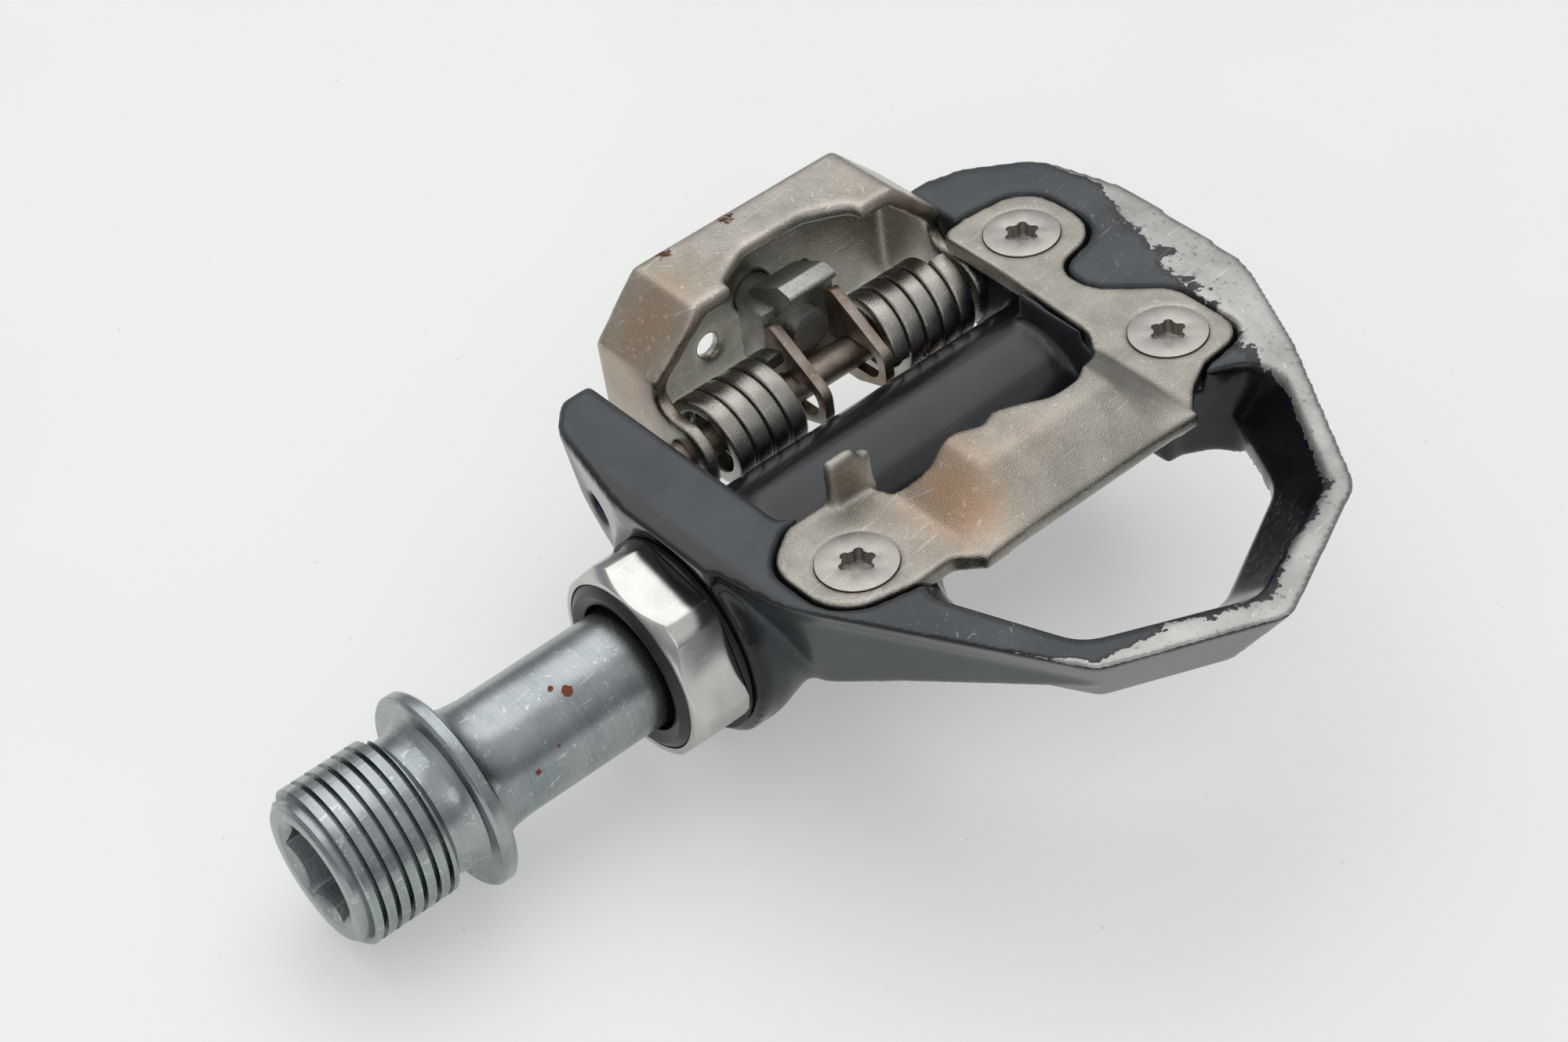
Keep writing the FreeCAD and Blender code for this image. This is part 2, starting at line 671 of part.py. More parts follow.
pocket = shaped("plate_pocket", slab(plate_outline(FIT), FLOOR, DECK + 1.0))
screw_names = (("a", "screw_a_x", "screw_a_y"), ("b", "screw_b_x", "screw_b_y"),
               ("c", "screw_c_x", "screw_c_y"))
screw_holes = [
    rod("screw_hole_" + key, "screw_thread_dia / 2 + 0.03", "screw_len + 0.8", x, y,
        "deck_height - screw_len - 0.8", "z")
    for key, x, y in screw_names
]
node(cut("casting_solid", casting_blank, casting_bore, casting_mouth, pin_hole, pocket,
         *screw_holes), "casting")

# ---------------------------------------------------------------------------
# Cleat plate with the fixed front claw pressed up between its lobes
# ---------------------------------------------------------------------------
T = D["plate_thick"]
CLAW_MID = D["claw_centre"]
CREASE = D["crease_half"]
RISE = D["claw_rise"]
FRONT = D["claw_front"]
HOOD_REAR = B.x - 3.0


def hood_section(x, rise):
    """Cross-section of the raised claw at x: a flat-topped arch one sheet thick."""
    ramp = 4.9
    sheet_t = 1.5
    outer = [(-CREASE, 0), (-CREASE + ramp, rise), (CREASE - ramp, rise), (CREASE, 0)]
    points = [V(x, CLAW_MID + y, DECK + z) for y, z in outer]
    points += [V(x, CLAW_MID + y, DECK + z - sheet_t) for y, z in reversed(outer)]
    return Part.makePolygon(points + [points[0]])


flat = slab(plate_outline(0), FLOOR, DECK)
hood_gap = Part.makeBox(30, 2 * CREASE, 3 * T, V(B.x - 6.0, CLAW_MID - CREASE, FLOOR - T))
hood = Part.makeLoft([hood_section(HOOD_REAR - 2.5, RISE), hood_section(FRONT - 5.5, RISE - 0.3),
                      hood_section(FRONT, 0.15)], True, True)
hood_plan = slab([
    (A.x - 4.0, CLAW_MID - CREASE, 0),
    (A.x - 2.6, CLAW_MID - 9.2, 2.0),
    (A.x - 3.1, CLAW_MID - 6.2, 3.0),
    (A.x - 1.8, CLAW_MID - 3.7, 0.6),
    (A.x - 2.6, CLAW_MID - 2.2, 1.0),
    (A.x - 1.6, CLAW_MID + 0.2, 2.0),
    (A.x - 0.1, CLAW_MID + 2.8, 3.0),
    (A.x - 0.2, CLAW_MID + 5.4, 3.0),
    (A.x - 2.4, CLAW_MID + 8.6, 1.5),
    (B.x - 3.0, CLAW_MID + CREASE, 0),
    (FRONT, CLAW_MID + CREASE, 0),
    (FRONT, CLAW_MID - CREASE, 0),
], FLOOR - T, DECK + 3 * RISE)
hood = hood.common(hood_plan)
flat = flat.cut(hood_gap)
tab_x = A.x - 7.4
tab = side_slab([
    (tab_x, DECK - T, 0),
    (tab_x, DECK + 4.4, 0.4),
    (tab_x + T * 0.8, DECK + 4.4, 0.4),
    (tab_x + T * 0.8, DECK - T, 0),
], A.y + 2.9, A.y + 7.5)
tab = tab.cut(Part.makeBox(9, 6, 6, V(tab_x - 3, A.y + 5.9, DECK + 3.4)))
plate_blank = shaped("plate_blank", flat.multiFuse([hood, tab]).removeSplitter())
recesses = [
    cone("screw_seat_" + key, "screw_head_dia / 2 + 0.13", "screw_thread_dia / 2 + 0.15",
         "plate_thick + 0.01", x, y, "deck_height - plate_thick", "z")
    for key, x, y in screw_names
]
for seat in recesses:
    turned = seat.Placement.Rotation.multiply(FreeCAD.Rotation(V(1, 0, 0), 180))
    seat.Placement = FreeCAD.Placement(seat.Placement.Base, turned)
    seat.setExpression("Placement.Base.z", "dims.deck_height + 0.01")
node(cut("plate_solid", plate_blank, *recesses), "cleat_plate")


def plate_screw(key, x, y):
    """Countersunk screw with a six-lobed drive recess."""
    head = cone("screw_head_" + key, "screw_thread_dia / 2", "screw_head_dia / 2",
                "plate_thick - 0.1", x, y, "deck_height - plate_thick", "z")
    land = rod("screw_land_" + key, "screw_head_dia / 2", "0.1", x, y, "deck_height - 0.1", "z")
    shank = rod("screw_shank_" + key, "screw_thread_dia / 2", "screw_len - plate_thick + 0.05", x, y,
                "deck_height - screw_len", "z")
    whole = fuse("screw_whole_" + key, head, land, shank)
    core = rod("screw_drive_" + key, "screw_drive / 2 - 0.35", "1.4", x, y, "deck_height - 1.3", "z")
    lobes = []
    for i in range(6):
        turn = math.radians(60 * i + 14)
        lobe = rod("screw_lobe_%s_%d" % (key, i), "0.42", "1.4",
                   "%s + %.5f * screw_drive" % (x, 0.37 * math.cos(turn)),
                   "%s + %.5f * screw_drive" % (y, 0.37 * math.sin(turn)),
                   "deck_height - 1.3", "z")
        lobes.append(lobe)
    drive = fuse("screw_recess_" + key, core, *lobes)
    return cut("screw_" + key, whole, drive)


screws = [plate_screw(key, x, y) for key, x, y in screw_names]
screw_group = doc.addObject("Part::Compound", "screw_group")
screw_group.Links = screws
node(screw_group, "plate_screws")

# ---------------------------------------------------------------------------
# Claw pin and the two torsion springs wound round it
# ---------------------------------------------------------------------------
PIN_END = "(bay_outboard + 3.5)"
pin_rod = rod("pin_rod", "pin_dia / 2", PIN_END + " - wing_side - 3.2", "pin_x",
              "wing_side + 3.2", "pin_z")
node(pin_rod, "claw_pin")

CLIP_MID = D["clip_centre"]
HALF_CLAW = D["claw_half"]
PIN = V(D["pin_x"], 0, D["pin_z"])
WIRE = D["spring_wire"]
WALL = D["spring_wall"]
COIL_R = D["spring_dia"] / 2 - WALL / 2
COIL_LEN = D["spring_pitch"] * D["spring_turns"]


def torsion_spring(y_start, handed):
    """Flat-wire coil round the pin with a straight leg at each end."""
    helix = Part.makeHelix(D["spring_pitch"], COIL_LEN, COIL_R, 0, handed < 0)
    start = V(COIL_R, 0, 0)
    half_w = WALL / 2
    half_h = WIRE / 2
    section = Part.makePolygon([
        start + V(-half_w, 0, -half_h), start + V(half_w, 0, -half_h),
        start + V(half_w, 0, half_h), start + V(-half_w, 0, half_h),
        start + V(-half_w, 0, -half_h),
    ])
    sweep = Part.BRepOffsetAPI.MakePipeShell(Part.Wire(helix))
    sweep.setAuxiliarySpine(Part.Wire(Part.makeLine(V(0, 0, 0), V(0, 0, COIL_LEN))), True, 0)
    sweep.add(section, False, False)
    sweep.build()
    sweep.makeSolid()
    coil = sweep.shape()
    return coil


def leg(y_low, angle, length):
    """Straight wire end leaving the coil on its rim."""
    bar = Part.makeBox(WALL, WIRE, length, V(COIL_R - WALL / 2, y_low, 0))
    bar.rotate(V(0, 0, 0), V(0, 1, 0), angle)
    bar.translate(PIN)
    return bar


def spring_at(y_low, legs, handed):
    """Coil stood along the pin with its first turn starting at y_low."""
    coil = torsion_spring(0, handed)
    coil.rotate(V(0, 0, 0), V(1, 0, 0), -90)
    coil.translate(V(PIN.x, y_low + WIRE / 2, PIN.z))
    ends = [leg(y, angle, length) for y, angle, length in legs]
    return coil.multiFuse(ends)


SPRING_LOW = CLIP_MID - HALF_CLAW + D["spring_inset"]
SPRING_HIGH = CLIP_MID + HALF_CLAW - D["spring_inset"] - COIL_LEN - WIRE
node(shaped("spring_in_shape", spring_at(
    SPRING_LOW, [(SPRING_LOW, 0, 4.5), (SPRING_LOW + COIL_LEN, 180, 4.5)], 1)), "spring_inboard")
node(shaped("spring_out_shape", spring_at(
    SPRING_HIGH, [(SPRING_HIGH, 0, 4.5), (SPRING_HIGH + COIL_LEN, 180, 4.5)], 1)), "spring_outboard")

# ---------------------------------------------------------------------------
# Rear claw: folded sheet, two arms on the pin, sloping shoulders, hooked lip
# ---------------------------------------------------------------------------
S = D["claw_sheet"]
TOP = D["claw_top"]
BACK = -D["claw_back"]
LIP = -D["claw_lip"]
SHOULDER = D["shoulder_half"]
ARM_TOP = D["arm_top"]
CLAW_LOW = 1.6
ARM_BOSS = D["arm_boss_dia"] / 2


def claw_block(gap):
    """Solid envelope of the claw shrunk by gap on its outside faces."""
    half = HALF_CLAW - gap
    top_half = SHOULDER - 0.6 * gap
    top = TOP - gap
    section = [
        V(0, -half, -6), V(0, -half, ARM_TOP - 0.6 * gap), V(0, -top_half, top),
        V(0, top_half, top), V(0, half, ARM_TOP - 0.6 * gap), V(0, half, -6),
    ]
    face = Part.Face(Part.makePolygon(section + [section[0]]))
    block = face.extrude(V(60, 0, 0))
    block.translate(V(BACK + gap, CLIP_MID, 0))
    return block


shell = claw_block(0).cut(claw_block(S))
arm_profile = side_slab([
    (BACK - 1.0, CLAW_LOW, 0),
    (BACK - 1.0, TOP + 1.0, 0),
    (LIP, TOP + 1.0, 0),
    (LIP + 0.4, TOP - 2.0, 1.0),
    (LIP - 0.5, PIN.z + ARM_BOSS, 1.6),
    (PIN.x + ARM_BOSS, PIN.z + ARM_BOSS, ARM_BOSS),
    (PIN.x + ARM_BOSS, PIN.z - ARM_BOSS, ARM_BOSS),
    (PIN.x - 3.6, PIN.z - ARM_BOSS, 3.0),
    (PIN.x - 6.0, CLAW_LOW, 2.0),
], CLIP_MID - 2 * HALF_CLAW, CLIP_MID + 2 * HALF_CLAW)
claw_shape = shell.common(arm_profile)
back_window = Part.makeBox(8, 2 * (HALF_CLAW - 5.5), 12, V(BACK - 4, CLIP_MID - HALF_CLAW + 5.5, -9.4))
lip_notch = slab([
    (LIP + 2.0, CLIP_MID - 7.6, 0),
    (LIP - 1.2, CLIP_MID - 7.0, 0.8),
    (LIP - 3.2, CLIP_MID - 3.4, 2.0),
    (LIP - 3.2, CLIP_MID + 3.4, 2.0),
    (LIP - 1.2, CLIP_MID + 7.0, 0.8),
    (LIP + 2.0, CLIP_MID + 7.6, 0),
], TOP - 4.0, TOP + 1.0)
side_holes = [Part.makeCylinder(1.2, 8, V(BACK - 4, CLIP_MID + side * 5.6, PIN.z + 0.6), V(1, 0, 0))
              for side in (-1, 1)]
claw_shape = claw_shape.cut(lip_notch)
for hole in side_holes:
    claw_shape = claw_shape.cut(hole)
claw_blank = shaped("claw_blank", claw_shape.removeSplitter())
arm_bore = rod("arm_bore", "pin_dia / 2 + 0.06", "50.0", "pin_x", "clip_centre - claw_half - 2", "pin_z")
bolt_bore = rod("bolt_bore", "bolt_dia / 2 + 0.08", "8.0", "-claw_back - 4.0", "clip_centre",
                "bolt_z", "x")
node(cut("claw_solid", claw_blank, arm_bore, bolt_bore), "rear_claw")

# ---------------------------------------------------------------------------
# Tension adjuster: bolt through the claw back, nut block and spring carrier
# ---------------------------------------------------------------------------
bolt_head = rod("bolt_head", "bolt_head_dia / 2", "2.4", "-claw_back - 2.45", "clip_centre", "bolt_z", "x")
bolt_shank = rod("bolt_shank", "bolt_dia / 2", "9.6", "-claw_back - 0.1", "clip_centre", "bolt_z", "x")
bolt_whole = fuse("bolt_whole", bolt_head, bolt_shank)
bolt_drive = hexagon("bolt_drive", "bolt_key", "1.8", "-claw_back - 2.46", "clip_centre", "bolt_z", "x")
node(cut("bolt_solid", bolt_whole, bolt_drive), "tension_bolt")

NUT_REAR = "(-claw_back + 4.4)"
nut_block = box("nut_block", "3.6", "nut_wide", "6.4", NUT_REAR, "clip_centre - nut_wide / 2",
                "bolt_z - 3.2")
nut_tongue = shaped("nut_tongue", side_slab([
    (val(NUT_REAR), D["bolt_z"] + 2.0, 0),
    (val(NUT_REAR), D["bolt_z"] + 3.6, 0.5),
    (val(NUT_REAR) + 4.6, TOP - 3.0, 0.5),
    (val(NUT_REAR) + 6.6, TOP - 3.4, 0.4),
    (val(NUT_REAR) + 3.4, D["bolt_z"] + 2.0, 0.5),
], CLIP_MID - 2.6, CLIP_MID + 2.6))
nut_whole = fuse("nut_whole", nut_block, nut_tongue)
nut_thread = rod("nut_thread", "bolt_dia / 2 + 0.05", "12.0", NUT_REAR + " - 2", "clip_centre", "bolt_z", "x")
node(cut("tension_nut_solid", nut_whole, nut_thread), "tension_nut")

CHEEK = 1.0
NUT_HALF = D["nut_wide"] / 2
PIN_FIT = D["pin_dia"] / 2 + 0.1
TRAVEL = D["nut_travel"]
nut_front = val(NUT_REAR) + 3.6
carrier_parts = []
for side in (-1, 1):
    y_low = CLIP_MID + side * (NUT_HALF - CHEEK / 2) - CHEEK / 2
    cheek = side_slab([
        (nut_front + 0.05, D["bolt_z"] - 2.9, 0.4),
        (nut_front + 0.05, D["bolt_z"] + 3.0, 0.8),
        (PIN.x + 0.6, PIN.z + 4.2, 2.0),
        (PIN.x + TRAVEL + PIN_FIT + 1.0, PIN.z + PIN_FIT + 0.1, 1.6),
        (PIN.x + TRAVEL + PIN_FIT + 1.0, PIN.z - PIN_FIT - 0.1, 1.6),
        (PIN.x + 0.6, PIN.z - 3.0, 2.0),
        (PIN.x - 3.0, PIN.z - 2.9, 2.0),
    ], y_low, y_low + CHEEK)
    slot = side_slab([
        (PIN.x - PIN_FIT - 0.1, PIN.z - PIN_FIT, PIN_FIT - 0.05),
        (PIN.x - PIN_FIT - 0.1, PIN.z + PIN_FIT, PIN_FIT - 0.05),
        (PIN.x + TRAVEL + PIN_FIT + 0.1, PIN.z + PIN_FIT, PIN_FIT - 0.05),
        (PIN.x + TRAVEL + PIN_FIT + 0.1, PIN.z - PIN_FIT, PIN_FIT - 0.05),
    ], y_low - 1, y_low + CHEEK + 1)
    carrier_parts.append(cheek.cut(slot))
bridge = Part.makeBox(1.0, 2 * NUT_HALF, 2.6, V(nut_front + 0.05, CLIP_MID - NUT_HALF, D["bolt_z"] - 5.6))
riser = Part.makeBox(1.0, CHEEK, 3.2, V(nut_front + 0.05, CLIP_MID - NUT_HALF, D["bolt_z"] - 5.6))
riser_far = riser.copy()
riser_far.translate(V(0, 2 * NUT_HALF - CHEEK, 0))
carrier = bridge.multiFuse([riser, riser_far] + carrier_parts).removeSplitter()
node(shaped("carrier_shape", carrier), "spring_carrier")

# ---------------------------------------------------------------------------
# Recompute, check every piece and write one file per node
# ---------------------------------------------------------------------------
doc.recompute()
for obj in doc.Objects:
    if "Invalid" in obj.State or "Error" in obj.State:
        raise RuntimeError("broken object " + obj.Name + " " + str(obj.State))
os.makedirs("parts", exist_ok=True)
for obj in NODES:
    shape = obj.Shape
    if shape.isNull() or not shape.isValid() or shape.Volume <= 0:
        raise RuntimeError("bad shape in " + obj.Label)
    shape.exportStep("parts/%s.step" % obj.Label)
    print("%-18s solids %2d volume %9.1f" % (obj.Label, len(shape.Solids), shape.Volume))
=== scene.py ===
"""Looks of a used single-sided clipless pedal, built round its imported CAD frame.

Frame: +Y along the axle away from the crank, +X forward, +Z up, metres.
"""

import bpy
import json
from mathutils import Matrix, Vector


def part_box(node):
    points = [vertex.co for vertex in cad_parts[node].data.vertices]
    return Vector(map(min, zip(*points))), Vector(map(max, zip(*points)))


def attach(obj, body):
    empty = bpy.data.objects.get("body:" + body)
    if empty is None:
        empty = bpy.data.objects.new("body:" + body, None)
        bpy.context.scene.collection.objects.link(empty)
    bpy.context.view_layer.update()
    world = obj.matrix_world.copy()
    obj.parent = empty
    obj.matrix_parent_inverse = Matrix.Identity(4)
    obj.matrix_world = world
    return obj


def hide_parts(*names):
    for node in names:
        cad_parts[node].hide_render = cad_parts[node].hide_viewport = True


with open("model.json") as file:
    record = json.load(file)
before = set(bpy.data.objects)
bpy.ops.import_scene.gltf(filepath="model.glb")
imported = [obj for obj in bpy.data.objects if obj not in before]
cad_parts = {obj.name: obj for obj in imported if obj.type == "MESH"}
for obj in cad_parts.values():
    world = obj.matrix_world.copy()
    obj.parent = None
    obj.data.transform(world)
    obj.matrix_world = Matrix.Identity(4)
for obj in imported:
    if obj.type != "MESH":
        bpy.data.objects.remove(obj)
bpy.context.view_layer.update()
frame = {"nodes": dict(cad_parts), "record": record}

import json
import math

import bmesh
import bpy
import numpy as np
from mathutils import Matrix, Vector

MM = 0.001


# ---------------------------------------------------------------------------
# Mesh helpers
# ---------------------------------------------------------------------------
def merged_copy(node):
    """Copy of a CAD node's mesh with its loose triangles joined up."""
    mesh = frame["nodes"][node].data.copy()
    mesh.materials.clear()
    shell = bmesh.new()
    shell.from_mesh(mesh)
    bmesh.ops.remove_doubles(shell, verts=shell.verts, dist=2e-6)
    shell.to_mesh(mesh)
    shell.free()
    if mesh.has_custom_normals:
        mesh.attributes.remove(mesh.attributes["custom_normal"])
    return mesh


def scene_object(name, mesh):
    """New object at the origin carrying a mesh."""
    obj = bpy.data.objects.new(name, mesh)
    bpy.context.scene.collection.objects.link(obj)
    return obj


def settled(obj):
    """Object whose modifiers are applied to a plain mesh."""
    bpy.context.view_layer.update()
    graph = bpy.context.evaluated_depsgraph_get()
    mesh = bpy.data.meshes.new_from_object(obj.evaluated_get(graph), depsgraph=graph)
    obj.modifiers.clear()
    obj.data = mesh
    return obj


def finished(obj, body, slot_name, material, *stands_for):
    """Piece handed over: material, body, CAD nodes it stands for."""
    obj.data.materials.clear()
    obj.data.materials.append(material)
    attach(obj, body)
    if stands_for:
        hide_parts(*stands_for)
    return obj


def remeshed(obj, voxel):
    """Even quad skin over a closed shape."""
    skin = obj.modifiers.new("even skin", "REMESH")
    skin.mode = "VOXEL"
    skin.voxel_size = voxel
    skin.adaptivity = 0.0
    return settled(obj)


def points_of(mesh):
    """Vertex positions as an array."""
    co = np.empty(len(mesh.vertices) * 3)
    mesh.vertices.foreach_get("co", co)
    return co.reshape(-1, 3)


def put_points(mesh, co):
    """Write vertex positions back."""
    mesh.vertices.foreach_set("co", co.astype(np.float32).ravel())
    mesh.update()


def neighbour_mean(mesh):
    """Function that averages each vertex's neighbours."""
    ends = np.empty(len(mesh.edges) * 2, np.int64)
    mesh.edges.foreach_get("vertices", ends)
    ends = ends.reshape(-1, 2)
    count = np.bincount(ends.ravel(), minlength=len(mesh.vertices)).astype(float)
    count[count == 0] = 1.0

    def mean(values):
        total = np.empty_like(values)
        for k in range(values.shape[1]):
            total[:, k] = np.bincount(ends[:, 0], values[ends[:, 1], k], len(count))
            total[:, k] += np.bincount(ends[:, 1], values[ends[:, 0], k], len(count))
        return total / count[:, None]

    return mean


def normals_of(mesh):
    """Vertex normals as an array."""
    out = np.empty(len(mesh.vertices) * 3, np.float32)
    mesh.vertex_normals.foreach_get("vector", out)
    return out.reshape(-1, 3).astype(float)


def relaxed(obj, rounds, hold=None, strength=0.5):
    """Shape smoothed a number of rounds; hold is a 0..1 weight per vertex."""
    mesh = obj.data
    mean = neighbour_mean(mesh)
    co = points_of(mesh)
    weight = strength if hold is None else strength * hold[:, None]
    for _ in range(rounds):
        co += weight * (mean(co) - co)
    put_points(mesh, co)
    return obj


def mark(mesh, name, values):
    """Float value per vertex that a material can read."""
    layer = mesh.attributes.new(name, "FLOAT", "POINT")
    layer.data.foreach_set("value", np.clip(values, -10, 10).astype(np.float32))


def mark_edges(obj, reach, spread=6):
    """Mark convex edges from 0 to 1 by how far a wide smoothing moves them."""
    mesh = obj.data
    mean = neighbour_mean(mesh)
    co = points_of(mesh)
    soft = co.copy()
    for _ in range(spread):
        soft += 0.5 * (mean(soft) - soft)
    out = ((co - soft) * normals_of(mesh)).sum(1) / reach
    mark(mesh, "edge", np.clip(out, 0, 1))
    mark(mesh, "hollow", np.clip(-out, 0, 1))


def shade_smooth(obj, angle=None):
    """Smooth shading, sharp past an angle where one is given."""
    mesh = obj.data
    mesh.shade_smooth()
    if angle is not None:
        mesh.set_sharp_from_angle(angle=math.radians(angle))
    return obj


def softened(name, node, voxel, rounds):
    """CAD node as a cast or pressed skin with eased edges and fillets."""
    obj = scene_object(name, merged_copy(node))
    remeshed(obj, voxel)
    relaxed(obj, rounds)
    return shade_smooth(obj)


def eased(name, node, width, segments=2, angle=28):
    """CAD node with its crisp edges broken by a small bevel."""
    obj = scene_object(name, merged_copy(node))
    ease = obj.modifiers.new("edge break", "BEVEL")
    ease.width = width
    ease.segments = segments
    ease.limit_method = "ANGLE"
    ease.angle_limit = math.radians(angle)
    ease.use_clamp_overlap = True
    settled(obj)
    return shade_smooth(obj, 40)


# ---------------------------------------------------------------------------
# Geometry Nodes: wire wound on a helix, used for springs and thread grooves
# ---------------------------------------------------------------------------
def wound_wire_tree():
    """Helix along Y swept with a four-sided section of rounded corners."""
    tree = bpy.data.node_groups.new("wound wire", "GeometryNodeTree")
    face = tree.interface
    for label, kind, value in (
            ("Turns", "NodeSocketFloat", 4.0), ("Coil Radius", "NodeSocketFloat", 4 * MM),
            ("Rise", "NodeSocketFloat", 8 * MM), ("Radial Size", "NodeSocketFloat", 1 * MM),
            ("Outer Width", "NodeSocketFloat", 1 * MM), ("Inner Width", "NodeSocketFloat", 1 * MM),
            ("Corner", "NodeSocketFloat", 0.1 * MM), ("Right Hand", "NodeSocketBool", True),
            ("Start Angle", "NodeSocketFloat", 0.0), ("Centre", "NodeSocketVector", None),
            ("Steps", "NodeSocketInt", 64), ("Finish", "NodeSocketMaterial", None)):
        socket = face.new_socket(label, in_out="INPUT", socket_type=kind)
        if value is not None:
            socket.default_value = value
    face.new_socket("Mesh", in_out="OUTPUT", socket_type="NodeSocketGeometry")
    nodes, wires = tree.nodes, tree.links
    given = nodes.new("NodeGroupInput")
    helix = nodes.new("GeometryNodeCurveSpiral")
    for source, target in (("Steps", "Resolution"), ("Turns", "Rotations"),
                           ("Coil Radius", "Start Radius"), ("Coil Radius", "End Radius"),
                           ("Rise", "Height"), ("Right Hand", "Reverse")):
        wires.new(given.outputs[source], helix.inputs[target])
    upright = nodes.new("GeometryNodeSetCurveNormal")
    upright.mode = "Z_UP"
    wires.new(helix.outputs["Curve"], upright.inputs["Curve"])
    section = nodes.new("GeometryNodeCurvePrimitiveQuadrilateral")
    section.mode = "TRAPEZOID"
    section.inputs["Offset"].default_value = 0.0
    wires.new(given.outputs["Outer Width"], section.inputs["Top Width"])
    wires.new(given.outputs["Inner Width"], section.inputs["Bottom Width"])
    wires.new(given.outputs["Radial Size"], section.inputs["Height"])
    rounding = nodes.new("GeometryNodeFilletCurve")
    rounding.mode = "POLY"
    rounding.inputs["Count"].default_value = 3
    rounding.inputs["Limit Radius"].default_value = True
    wires.new(section.outputs["Curve"], rounding.inputs["Curve"])
    wires.new(given.outputs["Corner"], rounding.inputs["Radius"])
    on_edge = nodes.new("GeometryNodeTransform")
    on_edge.inputs["Rotation"].default_value = (0.0, 0.0, math.radians(-90))
    wires.new(rounding.outputs["Curve"], on_edge.inputs["Geometry"])
    sweep = nodes.new("GeometryNodeCurveToMesh")
    sweep.inputs["Fill Caps"].default_value = True
    wires.new(upright.outputs["Curve"], sweep.inputs["Curve"])
    wires.new(on_edge.outputs["Geometry"], sweep.inputs["Profile Curve"])
    spin = nodes.new("ShaderNodeCombineXYZ")
    wires.new(given.outputs["Start Angle"], spin.inputs["Z"])
    turned = nodes.new("GeometryNodeTransform")
    wires.new(sweep.outputs["Mesh"], turned.inputs["Geometry"])
    wires.new(spin.outputs["Vector"], turned.inputs["Rotation"])
    laid = nodes.new("GeometryNodeTransform")
    laid.inputs["Rotation"].default_value = (math.radians(-90), 0.0, 0.0)
    wires.new(turned.outputs["Geometry"], laid.inputs["Geometry"])
    wires.new(given.outputs["Centre"], laid.inputs["Translation"])
    real = nodes.new("GeometryNodeRealizeInstances")
    wires.new(laid.outputs["Geometry"], real.inputs["Geometry"])
    dressed = nodes.new("GeometryNodeSetMaterial")
    wires.new(real.outputs["Geometry"], dressed.inputs["Geometry"])
    wires.new(given.outputs["Finish"], dressed.inputs["Material"])
    result = nodes.new("NodeGroupOutput")
    wires.new(dressed.outputs["Geometry"], result.inputs["Mesh"])
    return tree


def wound(name, tree, **sizes):
    """Plain mesh of one wound wire; sizes are named after the tree's inputs."""
    obj = scene_object(name, bpy.data.meshes.new(name))
    winding = obj.modifiers.new("winding", "NODES")
    winding.node_group = tree
    keys = {item.name: item.identifier for item in tree.interface.items_tree
            if getattr(item, "in_out", "") == "INPUT"}
    for label, value in sizes.items():
        winding[keys[label.replace("_", " ")]] = value
    settled(obj)
    shell = bmesh.new()
    shell.from_mesh(obj.data)
    bmesh.ops.remove_doubles(shell, verts=shell.verts, dist=1e-6)
    bmesh.ops.recalc_face_normals(shell, faces=shell.faces)
    shell.to_mesh(obj.data)
    shell.free()
    return obj


